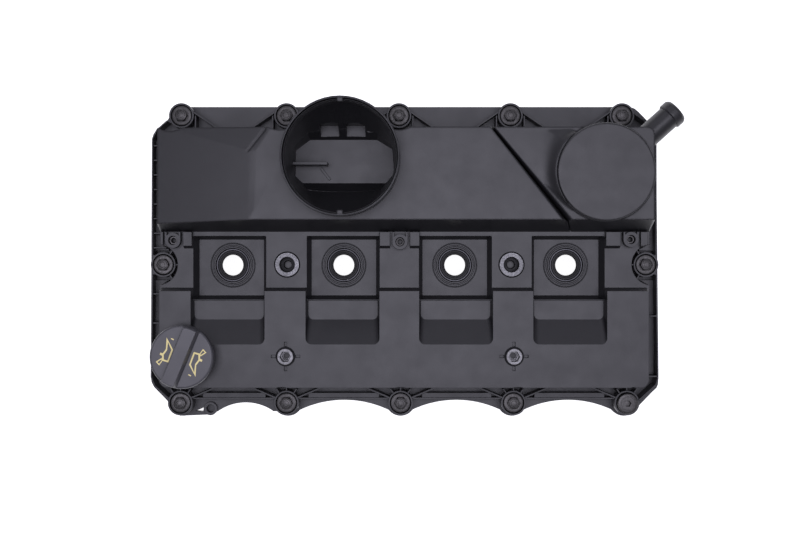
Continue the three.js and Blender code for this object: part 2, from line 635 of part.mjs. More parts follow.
// Round body along the axis of the breather nozzle.
function nozzleBody(radius, bead, bore) {
  const end = NOZZLE_LENGTH;
  const profile = [
    [bore, 0], [radius, 0], [radius, end - 8.9], [bead, end - 8.1], [bead, end - 2],
    [bead - 1.6, end], [bore, end],
  ];
  if (bore) profile.push([bore, 0]);
  const lathe = new THREE.LatheGeometry(
    profile.map(([r, z]) => new THREE.Vector2(r, z)), 20);
  lathe.rotateZ(-Math.PI / 2);
  lathe.rotateZ(NOZZLE_ANGLE);
  lathe.translate(...NOZZLE_BASE, NOZZLE_Z);
  return toSolid(lathe);
}

// ---- oil baffle under the separator -------------------------------------------------
const BAFFLE_TOP_Z = 30;
const BAFFLE_POSTS = [[104, 103], [198, 103], [150, 36], [198, 36]];
function baffle() {
  const plan = [[142, 31], [204, 31], [204, 109.5], [84, 109.5], [84, 101]];
  let plate = prism(plan, BAFFLE_TOP_Z - 2.5, BAFFLE_TOP_Z);
  plate = plate.add(joined([
    rib(110, 88, 150, 88, 1.6, BAFFLE_TOP_Z - 1, BAFFLE_TOP_Z + 14),
    rib(140, 72, 196, 72, 1.6, BAFFLE_TOP_Z - 1, BAFFLE_TOP_Z + 14),
    cylinder(5, 14, BAFFLE_TOP_Z - 1, 192, 88, 16),
  ]));
  plate = plate.subtract(cylinder(3, 13, BAFFLE_TOP_Z + OVER, 192, 88, 16));
  BAFFLE_POSTS.forEach(([x, y]) => {
    plate = plate.subtract(cylinder(2.4, 20, BAFFLE_TOP_Z + OVER, x, y, 12));
  });
  return plate;
}
function baffleScrew([x, y]) {
  return revolve([
    [0, 25], [3.6, 25], [3.8, BAFFLE_TOP_Z - 2.8], [1.5, BAFFLE_TOP_Z - 2.8],
    [1.5, BAFFLE_TOP_Z + 12], [0, BAFFLE_TOP_Z + 12],
  ], 8, x, y);
}

// ---- small pieces -------------------------------------------------------------------
const BOLT_UNDER_HEAD = 22.8;
const BOLT_FLANGE_R = 8.9;
const HEX_R = 5.77; // 10 mm across flats
const SOCKET_LIFT = 5; // the socket-head bolt has a taller head
function bolt([x, y], socket) {
  const flat = BOLT_UNDER_HEAD + 1.8 + (socket ? SOCKET_LIFT : 0);
  const shank = revolve([
    [0, 0], [2.4, 0], [3, 2.5], [3, BOLT_UNDER_HEAD], [BOLT_FLANGE_R, BOLT_UNDER_HEAD],
    [BOLT_FLANGE_R, flat - 0.6], [BOLT_FLANGE_R - 0.8, flat], [0, flat],
  ], 12, x, y);
  if (!socket) return shank.add(cylinder(HEX_R, flat - 0.5, flat + 6, x, y, 6));
  return shank.subtract(cylinder(3, flat - 5, flat + 1, x, y, 6));
}
const GROMMET_TOP_Z = 10.5;
const grommet = ([x, y]) => revolve([
  [3.5, 3], [5.7, 3], [5.7, SEAT_Z + GAP], [8.8, SEAT_Z + GAP], [8.8, GROMMET_TOP_Z],
  [3.5, GROMMET_TOP_Z], [3.5, 3],
], 10, x, y);
const injectorSeal = (x) => revolve([
  [10.8, 34], [12.6, 34], [12.6, 42.2], [10.1, 42.2], [9.25, 41], [9.25, 39.6], [10.8, 38],
  [10.8, 34],
], 16, x, ROW_Y);
const sealCase = (x) => ring(12.9, 14.1, 34, 41.8, x, ROW_Y, 16);
const largeInsert = (x) => revolve([
  [3.2, 40.3], [10.5, 40.3], [10.5, 54.5], [6.3, 54.5], [6.3, 46], [3.2, 46], [3.2, 40.3],
], 16, x, INSERT_Y);
const deckInsert = (x) => ring(2.6, 4.5, 56.3, 63.8, x, DECK_INSERT_Y, 12);
const clipInsert = ({ x, y }) => ring(1.9, 3.5, 49.3, 57, x, y, 10);
const gasket = () => prism(sealLoop(1.3), 0.1, 3.7).subtract(prism(sealLoop(-1.3), -OVER, 5));
const collarSeal = () => ring(45.5, 46.5, 110.3, 114.6, ...COLLAR, 32);

const pcvCap = () => revolve([
  [0, 98], [35, 98], [35, 95.8], [DISC_R, 95.8], [DISC_R, 98.6], [38.4, 100.2], [0, 100.2],
], 36, ...DISC);
const diaphragm = () => revolve([
  [0, 90.2], [20, 90.2], [25, 88.4], [31, 92.3], [37.2, 92.3], [37.2, 93.8], [30.4, 93.8],
  [25, 89.9], [20, 91.6], [0, 91.6],
], 20, ...DISC);
const pcvPlate = () => revolve([
  [0, 91.9], [16, 91.9], [16, 93.4], [5, 93.4], [5, 95], [0, 95],
], 16, ...DISC);
function pcvSpring() {
  class Coil extends THREE.Curve {
    getPoint(t) {
      const a = t * 3 * 2 * Math.PI;
      return new THREE.Vector3(
        DISC[0] + 13.5 * Math.cos(a), DISC[1] + 13.5 * Math.sin(a), 82.2 + 7 * t);
    }
  }
  const wire = [];
  for (let i = 0; i < 5; i += 1) {
    const a = (i / 5) * 2 * Math.PI;
    wire.push(new THREE.Vector2(0.8 * Math.cos(a), 0.8 * Math.sin(a)));
  }
  return toSolid(new THREE.ExtrudeGeometry(new THREE.Shape(wire), {
    steps: 36, bevelEnabled: false, extrudePath: new Coil(),
  }));
}

function fillerCap() {
  const turned = (points) => points.map(([along, across]) => [
    CAP[0] + along * Math.cos(GRIP_ANGLE) - across * Math.sin(GRIP_ANGLE),
    CAP[1] + along * Math.sin(GRIP_ANGLE) + across * Math.cos(GRIP_ANGLE),
  ]);
  const disc = revolve([
    [0, 60], [15, 60], [17.2, 63], [17.2, 69.7], [15.4, 69.7], [15.4, 73.7], [17.2, 73.7],
    [17.2, NECK_Z + GAP], [24.5, NECK_Z + GAP], [CAP_R, 80], [CAP_R, 86.6], [25, CAP_Z],
    [0, CAP_Z],
  ], 24, ...CAP);
  const grip = loft(
    turned([[-30, -6.5], [30, -6.5], [30, 8.2], [-30, 8.2]]),
    turned([[-30, -4.2], [30, -4.2], [30, 7], [-30, 7]]), CAP_Z - 1, CAP_Z + 7);
  return disc.add(grip.intersect(cylinder(CAP_R - 0.2, CAP_Z - 2, CAP_Z + 8, ...CAP, 24)));
}
const capSeal = () => ring(15.8, 17.3, 70, 73.4, ...CAP, 24);

// ---- assembly -----------------------------------------------------------------------
const part = new THREE.Group();
function put(name, solid, look) {
  const made = solid.getMesh();
  const count = made.numVert;
  const positions = new Float32Array(count * 3);
  for (let i = 0; i < count; i += 1) {
    const at = i * made.numProp;
    positions.set(made.vertProperties.subarray(at, at + 3), i * 3);
  }
  const geometry = new THREE.BufferGeometry();
  geometry.setAttribute("position", new THREE.BufferAttribute(positions, 3));
  geometry.setIndex(new THREE.BufferAttribute(new Uint32Array(made.triVerts), 1));
  geometry.computeVertexNormals();
  const mesh = new THREE.Mesh(geometry, look);
  mesh.name = name;
  part.add(mesh);
}

put("cover_base", coverBase(), nylon());
put("plenum_shell", plenumShell(), nylon());
put("separator_shell", separatorShell(), nylon());
put("breather_nozzle", nozzleBody(NOZZLE_R, 11.5, 7.6), nylon());
put("pcv_cap", pcvCap(), nylon());
put("pcv_diaphragm", diaphragm(), rubber());
put("pcv_plate", pcvPlate(), blackSteel());
put("pcv_spring", pcvSpring(), steel());
put("oil_baffle", baffle(), nylon());
BAFFLE_POSTS.forEach((at, i) => put(`baffle_screw_${i + 1}`, baffleScrew(at), zinc()));
put("cover_gasket", gasket(), rubber());
put("collar_seal", collarSeal(), rubber());
POCKETS.forEach((x, i) => {
  put(`injector_seal_${i + 1}`, injectorSeal(x), rubber());
  put(`seal_case_${i + 1}`, sealCase(x), blackSteel());
});
INSERTS.forEach((x, i) => put(`large_insert_${i + 1}`, largeInsert(x), steel()));
DECK_INSERTS.forEach((x, i) => put(`deck_insert_${i + 1}`, deckInsert(x), zinc()));
CLIPS.forEach((clip, i) => put(`clip_insert_${i + 1}`, clipInsert(clip), zinc()));
BOLTS.forEach((at, i) => {
  put(`bolt_${i + 1}`, bolt(at, i === BOLTS.length - 1), zinc());
  put(`bolt_grommet_${i + 1}`, grommet(at), rubber());
});
put("filler_cap", fillerCap(), capPlastic());
put("filler_cap_seal", capSeal(), rubber());

// origin: middle of the overall box in plan, on the plane it rests on
part.updateMatrixWorld(true);
const bounds = new THREE.Box3().setFromObject(part);
const centre = bounds.getCenter(new THREE.Vector3());
part.children.forEach((mesh) => {
  mesh.geometry.translate(-centre.x, -centre.y, -bounds.min.z);
});

export default part;
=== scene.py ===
import bpy
import bmesh
import math
from mathutils import Matrix, Vector


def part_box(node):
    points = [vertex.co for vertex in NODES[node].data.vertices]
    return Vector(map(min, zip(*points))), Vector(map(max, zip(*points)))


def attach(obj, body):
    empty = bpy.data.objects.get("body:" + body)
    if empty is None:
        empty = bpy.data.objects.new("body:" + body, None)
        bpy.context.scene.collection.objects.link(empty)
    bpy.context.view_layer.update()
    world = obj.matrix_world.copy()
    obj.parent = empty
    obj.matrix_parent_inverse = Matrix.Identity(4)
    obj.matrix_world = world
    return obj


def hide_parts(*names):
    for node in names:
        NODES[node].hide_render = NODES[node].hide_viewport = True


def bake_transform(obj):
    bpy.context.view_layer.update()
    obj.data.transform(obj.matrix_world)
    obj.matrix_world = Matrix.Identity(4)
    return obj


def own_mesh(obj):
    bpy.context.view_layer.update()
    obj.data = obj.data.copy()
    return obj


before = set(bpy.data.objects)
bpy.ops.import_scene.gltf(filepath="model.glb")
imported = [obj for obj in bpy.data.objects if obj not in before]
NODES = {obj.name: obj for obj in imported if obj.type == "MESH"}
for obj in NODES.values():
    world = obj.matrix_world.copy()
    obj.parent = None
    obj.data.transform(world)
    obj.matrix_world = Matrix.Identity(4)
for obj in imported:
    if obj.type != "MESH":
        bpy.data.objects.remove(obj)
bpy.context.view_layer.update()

# All drawing is in millimetres from a point near the middle of the cover, straight below the
# camera. SHIFT takes it to the row frame.
CAP = (-181.5, -75.2)
cap_lo, cap_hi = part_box("filler_cap")
SHIFT = Vector(((cap_lo.x + cap_hi.x) * 500 - CAP[0], (cap_lo.y + cap_hi.y) * 500 - CAP[1], 0))

# ---- camera -------------------------------------------------------------------------
CAMERA_HEIGHT, SENSOR_WIDTH, FOCAL_LENGTH = 1.15, 36, 57.645
camera_data = bpy.data.cameras.new("camera")
camera = bpy.data.objects.new("camera", camera_data)
bpy.context.scene.collection.objects.link(camera)
bpy.context.scene.camera = camera
camera.location = (SHIFT.x / 1000, SHIFT.y / 1000, CAMERA_HEIGHT)
camera_data.sensor_width = SENSOR_WIDTH
camera_data.lens = FOCAL_LENGTH
camera_data.clip_start = 0.05
camera_data.clip_end = 20

# ---- dimensions ---------------------------------------------------------------------
GAP, WALL, OVER = 0.3, 3, 1
PITCH, ROW_X, ROW_Y = 96, -0.6, 1.2
FLANGE_TOP, BOSS_TOP, PAD_Z, BLOCK_Z = 8, 25, 40, 54
SHELF_Z, LEDGE_Z, DECK_Z, ROOF_Z, COLLAR_Z = 57, 60, 68, 92, 118
LEFT_FOOT, LEFT_TOP, RIGHT_FOOT, RIGHT_TOP = -207, -203.5, 214.6, 210.3
BLOCK_LEFT, BLOCK_RIGHT = -205.3, 213.4
FRONT_FOOT, FRONT_TOP, REAR_FOOT, REAR_TOP = -105.6, -102.6, 118, 116.2
PLENUM_FOOT_Y, PLENUM_ROOF_Y, ROOF_REAR_Y = 29.7, 38.7, 115.5
PLENUM_LEFT, ROOF_LEFT_X, ROOF_RIGHT_X = -204.6, -202.2, 210.6
INSIDE_LEFT, INSIDE_RIGHT, INSIDE_FRONT, REAR_INSIDE_Y = -200.5, 207.3, -99.6, 109.5
SCALLOP_R, SCALLOP_Y = 92, -118.9
LAST_SCALLOP_R, LAST_SCALLOP = 43, (-137.5, -164.2)
TOP_BOLTS = [(x, 132.6) for x in (-192, -99.7, -0.9, 97, 195)]
LOW_BOLTS = [(x, -119.9) for x in (-193, -99.8, 0.5, 99.7, 199.4)]
MID_BOLTS = [(-208, 1.6), (216, 1.6)]
BOLTS = TOP_BOLTS + MID_BOLTS + LOW_BOLTS
BOSS_R, BOSS_BORE_R, BOSS_HOLE_R, SEAT_Z = 10.9, 9.4, 6, 6
WELL_R, WELL_TOP_R, WELL_TOP_Z, WELL_WALL, REAR_WELL_R = 14.2, 18, 56, 2.6, 19.6
POCKETS = [ROW_X + n * PITCH for n in (-1.5, -0.5, 0.5, 1.5)]
POCKET_SHIFT = {POCKETS[0]: -1.1, POCKETS[3]: 0.5}
POCKET_HALF, PAD_HALF, SHELF_HALF = 31.15, 28, 29.6
INSERTS, INSERT_Y = (-96.6, 95.4), 1.6
INSERT_SEAT_R, INSERT_HOLE_R, INSERT_HOLE_Z = 13.6, 11.1, 40
DECK_INSERTS, DECK_INSERT_Y, DECK_SEAT_Z = (-96.7, 96.3), -76, 71.5
CLIPS = [(-193.2, 22.2, -203.6, -177.3), (0, 21, -17.2, 16.5), (196.4, 23, 175.5, 210.8)]
COLLAR, COLLAR_R, FUNNEL_R = (-48.6, 89.4), 48.5, 45.3
FUNNEL_FLOOR_Z, FUNNEL_TOP_Z = 35, 96
FUNNEL_CORNERS = ((-12.4, 72.4, -56), (-5, 81, -30), (-6.5, 102, 15), (-20.1, 110.2, 45),
                  (-78, 110.2, 135), (-90.5, 101, 165), (-91, 78.5, 205), (-84.4, 72.4, 241))
PORTS, PORT_BLOCK = ((-68.4, -52.5), (-46, -29.7)), (-72, -26, 100, 124.8, 38, 70)
PORT_FRONT, PORT_REAR, PORT_FLOOR_Z, PORT_TOP_Z = 104, 121.8, 41, 66
DISC, DISC_R = (169.7, 77.9), 40.3
CAP_R, CAP_Z = 26.5, 88
NECK_R, NECK_BORE_R, NECK_Z = 20.5, 17.8, 78
GRIP_ANGLE = math.radians(67.5)
NOZZLE_BASE, NOZZLE_ANGLE, NOZZLE_LENGTH = (203, 104.8), math.radians(41.9), 40.2
NOZZLE_R, NOZZLE_BEAD_R, NOZZLE_BORE_R, NOZZLE_Z = 10.15, 11.5, 7.6, 70
LUG = (-168.4, -126.3)
SHELL_Z = BLOCK_Z + GAP


# ---- solids in millimetres ----------------------------------------------------------
def solid(verts, faces):
    mesh = bpy.data.meshes.new("solid")
    mesh.from_pydata([tuple(v) for v in verts], [], faces)
    bm = bmesh.new()
    bm.from_mesh(mesh)
    bmesh.ops.remove_doubles(bm, verts=bm.verts, dist=1e-4)
    bmesh.ops.recalc_face_normals(bm, faces=bm.faces)
    bm.to_mesh(mesh)
    bm.free()
    made = bpy.data.objects.new("solid", mesh)
    bpy.context.scene.collection.objects.link(made)
    return made


def stack(layers):
    """Body through outlines with equal numbers of points, from the lowest layer up."""
    n = len(layers[0][0])
    verts = [(x, y, z) for points, z in layers for x, y in points]
    last = (len(layers) - 1) * n
    faces = [tuple(range(n - 1, -1, -1)), tuple(range(last, last + n))]
    for k in range(0, last, n):
        faces += [(k + i, k + (i + 1) % n, k + n + (i + 1) % n, k + n + i) for i in range(n)]
    return solid(verts, faces)


def loft(low, high, z0, z1):
    return stack([(low, z0), (high, z1)])


def above(height, x0, x1, y0, y1, top):
    """Block up to `top` over a floor whose height follows height(x, y)."""
    plan = rect(x0, x1, y0, y1)
    verts = [(x, y, height(x, y)) for x, y in plan] + [(x, y, top) for x, y in plan]
    faces = [(3, 2, 1, 0), (4, 5, 6, 7)] + [(i, (i + 1) % 4, 4 + (i + 1) % 4, 4 + i) for i in range(4)]
    return solid(verts, faces)


def prism(points, z0, z1):
    return loft(points, points, z0, z1)


def rect(x0, x1, y0, y1):
    return [(x0, y0), (x1, y0), (x1, y1), (x0, y1)]


def block(x0, x1, y0, y1, z0, z1):
    return prism(rect(x0, x1, y0, y1), z0, z1)


def rounded(x0, x1, y0, y1, radii, steps=8):
    corners = ((x0, y0, 1, 1), (x1, y0, -1, 1), (x1, y1, -1, -1), (x0, y1, 1, -1))
    points = []
    for k, (x, y, sx, sy) in enumerate(corners):
        r = radii[k]
        for i in range(steps + 1):
            a = math.pi + (k + i / steps) * math.pi / 2
            points.append((x + sx * r + r * math.cos(a), y + sy * r + r * math.sin(a)))
    return points


def revolve(profile, segments=64, x=0, y=0, closed=False):
    """Body of revolution; an open profile starts and ends on the axis."""
    verts, faces = [], []
    n = len(profile)
    for i in range(segments):
        a = 2 * math.pi * i / segments
        verts += [(x + r * math.cos(a), y + r * math.sin(a), z) for r, z in profile]
    for i in range(segments):
        j = (i + 1) % segments
        for k in range(n if closed else n - 1):
            m = (k + 1) % n
            quad = [i * n + k, j * n + k, j * n + m, i * n + m]
            if profile[k][0] < 1e-6:
                quad = [i * n + k, j * n + m, i * n + m]
            elif profile[m][0] < 1e-6:
                quad = [i * n + k, j * n + k, i * n + m]
            faces.append(tuple(quad))
    return solid(verts, faces)


def cylinder(r, z0, z1, x, y, segments=48):
    return prism([(x + r * math.cos(2 * math.pi * i / segments),
                   y + r * math.sin(2 * math.pi * i / segments)) for i in range(segments)], z0, z1)


def tube(inner, outer, z0, z1, x, y, segments=48):
    return revolve([(inner, z0), (outer, z0), (outer, z1), (inner, z1)], segments, x, y, True)


def rib(x0, y0, x1, y1, thickness, z0, z1):
    length = math.hypot(x1 - x0, y1 - y0)
    nx, ny = -(y1 - y0) / length * thickness / 2, (x1 - x0) / length * thickness / 2
    return prism([(x0 - nx, y0 - ny), (x1 - nx, y1 - ny), (x1 + nx, y1 + ny), (x0 + nx, y0 + ny)],
                 z0, z1)


def settle(target):
    """Applies the waiting booleans of a solid."""
    graph = bpy.context.evaluated_depsgraph_get()
    graph.update()
    mesh = bpy.data.meshes.new_from_object(target.evaluated_get(graph))
    used = [m.object for m in target.modifiers if m.type == "BOOLEAN"]
    target.modifiers.clear()
    old = target.data
    target.data = mesh
    bpy.data.meshes.remove(old)
    for o in set(used):
        gone = o.data
        bpy.data.objects.remove(o)
        bpy.data.meshes.remove(gone)
    return target


def boolean(target, tools, operation):
    for tool in tools:
        m = target.modifiers.new("boolean", "BOOLEAN")
        m.operation = operation
        m.solver = "MANIFOLD"
        m.object = tool
    return settle(target)


def add(target, *tools):
    return boolean(target, tools, "UNION")


def cut(target, *tools):
    return boolean(target, tools, "DIFFERENCE")


def keep(target, *tools):
    return boolean(target, tools, "INTERSECT")


def ray(x, y, r0, r1, degrees, thickness, z0, z1):
    a = math.radians(degrees)
    c, s = math.cos(a), math.sin(a)
    return rib(x + r0 * c, y + r0 * s, x + r1 * c, y + r1 * s, thickness, z0, z1)


# ---- the cover body -----------------------------------------------------------------
FOOT_Z = 4
LIP_Z = 28
LEDGE_REAR_Y = PLENUM_FOOT_Y - GAP


def flange():
    plate = prism([
        (-221.2, 112.8), (-222.2, -98.5), (-221.5, -103), (-219.3, -107.4), (-209.1, -117.8),
        (-206.2, -121), (-196, -133.1), (-171, -132), (-163.5, -129), (205, -129),
        (213.5, -123.5), (224.7, -111.9), (228.6, -108.4), (230, -105.2), (230.5, -98.5),
        (228.4, 112), (226, 122), (220.2, 130.1), (212.2, 138.3), (208.8, 141), (204.9, 142.2),
        (-199.5, 142.2), (-203.6, 136.9), (-206.8, 131), (-216.6, 122.6), (-219.8, 118)],
        0, FLANGE_TOP)
    scallops = []
    for i in range(1, 4):
        middle = (LOW_BOLTS[i][0] + LOW_BOLTS[i + 1][0]) / 2
        scallops.append(cylinder(SCALLOP_R, -OVER, FLANGE_TOP + OVER, middle, SCALLOP_Y - SCALLOP_R, 240))
    scallops.append(cylinder(LAST_SCALLOP_R, -OVER, FLANGE_TOP + OVER, *LAST_SCALLOP, 120))
    cut(plate, *scallops)
    add(plate, *[cylinder(13.2, 0.01, FLANGE_TOP, x, y) for x, y in LOW_BOLTS],
        cylinder(5.9, 0.02, FLANGE_TOP + 4, *LUG))
    notch = prism([(-182.3, -128.9), (-174.9, -125.6), (-175.4, -129.4)], -OVER, FLANGE_TOP + OVER)
    return cut(plate, cylinder(3.6, 3, FLANGE_TOP + 5, *LUG), notch)


def body_outer():
    front = loft(rounded(LEFT_FOOT, RIGHT_FOOT, FRONT_FOOT, -9.2, (9, 9, 1, 1)),
                 rounded(LEFT_TOP, RIGHT_TOP, FRONT_TOP, -20.7, (7, 7, 1, 1)), FOOT_Z, DECK_Z)
    rear = loft(rect(LEFT_FOOT, RIGHT_FOOT, -50, REAR_FOOT),
                rect(BLOCK_LEFT, BLOCK_RIGHT, -50, REAR_TOP), FOOT_Z, BLOCK_Z)
    ledges = [loft(rect(x0 - 0.5, x1 + 0.5, 14.9, LEDGE_REAR_Y), rect(x0, x1, 17.6, LEDGE_REAR_Y),
                   BLOCK_Z - 2, LEDGE_Z) for _, _, x0, x1 in CLIPS]
    return add(front, rear, *ledges)


def body_hollow():
    deck = loft(rounded(INSIDE_LEFT, INSIDE_RIGHT, INSIDE_FRONT, -13, (5, 5, 1, 1)),
                rounded(INSIDE_LEFT, INSIDE_RIGHT, INSIDE_FRONT, -23.7, (5, 5, 1, 1)),
                -OVER, DECK_Z - WALL)
    return add(deck, block(INSIDE_LEFT, INSIDE_RIGHT, -60, REAR_INSIDE_Y, -OVER - 0.01, BLOCK_Z - WALL))


def well(at, grow, z0):
    """Room round a bolt's boss, or with `grow` the larger body that the room is cut from."""
    top = DECK_Z + (0 if grow else OVER)
    return revolve([(0, z0), (WELL_R + grow, z0), (WELL_R + grow, FLANGE_TOP + 1),
                    (WELL_TOP_R + grow, WELL_TOP_Z), (WELL_TOP_R + grow, top), (0, top)], 64, *at)


def pocket(hole, grow):
    """Room over an injector's pad and shelf, or with `grow` the larger body it is cut from."""
    x = hole + POCKET_SHIFT.get(hole, 0)
    left, right = x - POCKET_HALF - grow, x + POCKET_HALF + grow
    pad = loft(
        rounded(x - PAD_HALF - grow, x + PAD_HALF + grow, -25.1 - grow, 23.4 + grow, (0.8,) * 4, 3),
        rounded(left, right, -28.2 - grow, 26.1 + grow, (0.8,) * 4, 3), PAD_Z - grow, BLOCK_Z + 0.01)
    shelf = loft(
        rounded(x - SHELF_HALF - grow, x + SHELF_HALF + grow, -45.2 - grow, -24, (4.5, 4.5, 0.5, 0.5)),
        rounded(left, right, -65.9 - grow, -15, (5, 5, 0.5, 0.5)),
        SHELF_Z - grow, DECK_Z + (0 if grow else 0.01))
    return add(pad, shelf, block(left, right, -29, -15.01, BLOCK_Z - 0.02, DECK_Z + OVER))


def injector_tube(x):
    return revolve([
        (13.6, 12), (17.5, 12), (17.5, PAD_Z - 1), (19.3, PAD_Z - 1), (19.3, 41), (19.0, 41.3),
        (18.7, 41.3), (18.4, 41), (18.4, 40.3), (17.3, 40.3), (17.2, 41.4), (17.0, 41.7),
        (16.1, 41.7), (16.0, 42.7), (15.7, 43), (14.8, 43), (14.5, 42.7), (14.5, 33.7),
        (13.6, 33.7)], 96, x, ROW_Y, True)


BOWL_MIDDLE, BOWL_REACH, BOWL_BOW = (-48, 91), (43, 19), 0.004


def bowl_outline(grow):
    """Eight-sided foot and round rim of the bowl under the collar, point for point."""
    low, high = [], []
    steps = 12
    mx, my = BOWL_MIDDLE
    for k, (x0, y0, start) in enumerate(FUNNEL_CORNERS):
        x1, y1, end = FUNNEL_CORNERS[(k + 1) % 8]
        turn = end - start if end > start else end + 360 - start
        for i in range(steps):
            t = i / steps
            bow = 1 + BOWL_BOW * t * (1 - t)
            low.append((mx + (x0 + (x1 - x0) * t - mx) * bow * (1 + grow / BOWL_REACH[0]),
                        my + (y0 + (y1 - y0) * t - my) * bow * (1 + grow / BOWL_REACH[1])))
            a = math.radians(start + turn * t)
            r = COLLAR_R if grow else FUNNEL_R
            high.append((COLLAR[0] + r * math.cos(a), COLLAR[1] + r * math.sin(a)))
    return low, high


def bowl_outer():
    low, high = bowl_outline(WALL)
    return add(loft(low, high, FUNNEL_FLOOR_Z - WALL, FUNNEL_TOP_Z),
               prism(high, FUNNEL_TOP_Z - 0.01, COLLAR_Z), block(*PORT_BLOCK))


def bowl_inner():
    low, high = bowl_outline(0)
    return add(loft(low, high, FUNNEL_FLOOR_Z, FUNNEL_TOP_Z + 2),
               prism(high, FUNNEL_TOP_Z + 1.9, COLLAR_Z + OVER),
               *[block(x0, x1, PORT_FRONT, PORT_REAR, PORT_FLOOR_Z, PORT_TOP_Z) for x0, x1 in PORTS])


def below(z):
    return block(-300, 300, -300, 300, -50, z)


OUTER_SIDES = ((0, -1), (4, 1))


def boss_details():
    """Round bosses with the ribs between them; the corner bolts have none on their outer side."""
    parts = [cylinder(BOSS_R, 0.02, BOSS_TOP, x, y) for x, y in BOLTS]
    top = BOSS_TOP - 1
    for i, (x, y) in enumerate(TOP_BOLTS):
        for side in (-1, 1):
            if (i, side) not in OUTER_SIDES:
                wall = REAR_FOOT - 2
                parts.append(rib(x + side * 9.8, y + 3.6, x + side * 39.5, wall, 1.3, FOOT_Z, top))
                parts.append(rib(x + side * 12.2, y, x + side * 12.2, wall, 1.2, FOOT_Z, top))
    for i, (x, y) in enumerate(LOW_BOLTS):
        for side in (-1, 1):
            if (i, side) not in OUTER_SIDES:
                wall = FRONT_FOOT + 1
                parts.append(rib(x + side * 9.8, y + 4.6, x + side * 35, wall, 1.4, FOOT_Z, top))
        if i < 4:
            parts.append(block(x + 19, LOW_BOLTS[i + 1][0] - 19, -115.6, -111.5, FOOT_Z, 19))
            parts.append(block(x + 9.5, LOW_BOLTS[i + 1][0] - 9.5, -117, -115.6, FOOT_Z, 20))
        parts += [ray(x, y, 10, 15.2, d, 1.2, FOOT_Z, top) for d in (54, 90, 126)]
    for k, (x, y) in enumerate(MID_BOLTS):
        parts += [ray(x, y, 10, 15.2, d + 180 * k, 1.2, FOOT_Z, top) for d in (-58, 0, 58)]
    return parts


def end_walls():
    """Thin lips along both ends, with low fillings and cross ribs behind them."""
    parts = []

    def path(points):
        for (x0, y0), (x1, y1) in zip(points, points[1:]):
            parts.append(rib(x0, y0, x1, y1, 1.1, FOOT_Z, LIP_Z))

    path([(-204, 127.5), (-213.2, 119.6), (-216.8, 112), (-216.8, 10)])
    path([(-216.9, -7), (-217.9, -97), (-214.9, -104.6), (-203.5, -115)])
    path([(205.5, 134), (214.5, 127.5), (220.8, 118), (224.2, 110), (224.5, 10)])
    path([(224.7, -7), (225.9, -98), (224.6, -103.4), (209.5, -117)])
    parts += [block(-217, -205, 14, 112, FOOT_Z, 14), block(-217, -205, -98, -12, FOOT_Z, 14),
              block(212, 224.6, 14, 110, FOOT_Z, 14), block(212, 225, -98, -12, FOOT_Z, 14)]
    y, pitch = 106, 12.8
    while y > 12:
        parts.append(rib(-216.5, y, -205, y, 1.2, FOOT_Z, LIP_Z - 2))
        y -= pitch
    parts += [rib(-217.2, y, -205, y, 1.2, FOOT_Z, LIP_Z - 2) for y in (-24, -49.6, -88)]
    parts += [rib(225, y, 212, y, 1.2, FOOT_Z, LIP_Z) for y in (-43.4, -96.2)]
    return parts


SEAL_LEFT, SEAL_RIGHT, SEAL_FRONT, SEAL_REAR = -196, 203, -98, 111.5
SEAL_CORNER_R, SEAL_BOLT_R, SEAL_HALF, SEAL_DEPTH = 8, 12.5, 1.6, 4


def seal_loop(out):
    """The seal's path, moved outward by `out`; it bows inward round the two middle bolts."""
    reach = SEAL_BOLT_R - out
    points = []

    def arc(cx, cy, r, start, end, steps):
        for i in range(steps + 1):
            a = math.radians(start + (end - start) * i / steps)
            points.append((cx + r * math.cos(a), cy + r * math.sin(a)))

    bow = math.degrees(math.acos((4 - out) / reach))
    bow_right = math.degrees(math.acos((5 - out) / reach))
    r = SEAL_CORNER_R + out
    arc(SEAL_LEFT, SEAL_FRONT, r, 180, 270, 10)
    arc(SEAL_RIGHT, SEAL_FRONT, r, 270, 360, 10)
    arc(*MID_BOLTS[1], reach, 180 + bow_right, 180 - bow_right, 20)
    arc(SEAL_RIGHT, SEAL_REAR, r, 0, 90, 10)
    arc(SEAL_LEFT, SEAL_REAR, r, 90, 180, 10)
    arc(*MID_BOLTS[0], reach, bow, -bow, 20)
    return points


BAFFLE_TOP_Z = 30
BAFFLE_POSTS = ((104, 103), (198, 103), (150, 36), (198, 36))


def add_lining(cover):
    """Walls of the pockets and bolt wells inside the hollow, and the pockets and wells themselves."""
    liners = [pocket(x, WALL) for x in POCKETS]
    wells = [well(at, WELL_WALL, 0.03) for at in LOW_BOLTS + MID_BOLTS]
    lining = add(liners[0], *liners[1:], *wells)
    keep(lining, body_outer())
    feet = [cylinder(WELL_R + WELL_WALL, 0.03, FLANGE_TOP, x, y) for x, y in MID_BOLTS]
    add(cover, lining, keep(add(*feet), block(-221, 229, -50, 50, 0, FLANGE_TOP)))
    cut(cover, *[pocket(x, 0) for x in POCKETS],
        *[well(at, 0, FLANGE_TOP) for at in LOW_BOLTS + MID_BOLTS],
        *[cylinder(16.5, PAD_Z - WALL - OVER, PAD_Z + OVER, x, ROW_Y) for x in POCKETS])


def add_bowl(cover):
    """Injector tubes, the bowl under the collar, and room round the rear bolts."""
    bowl = keep(bowl_outer(), below(BLOCK_Z))
    add(cover, *[injector_tube(x) for x in POCKETS], bowl)
    cut(cover, bowl_inner(),
        *[cylinder(REAR_WELL_R, FLANGE_TOP, BLOCK_Z + OVER, x, y, 64) for x, y in TOP_BOLTS])


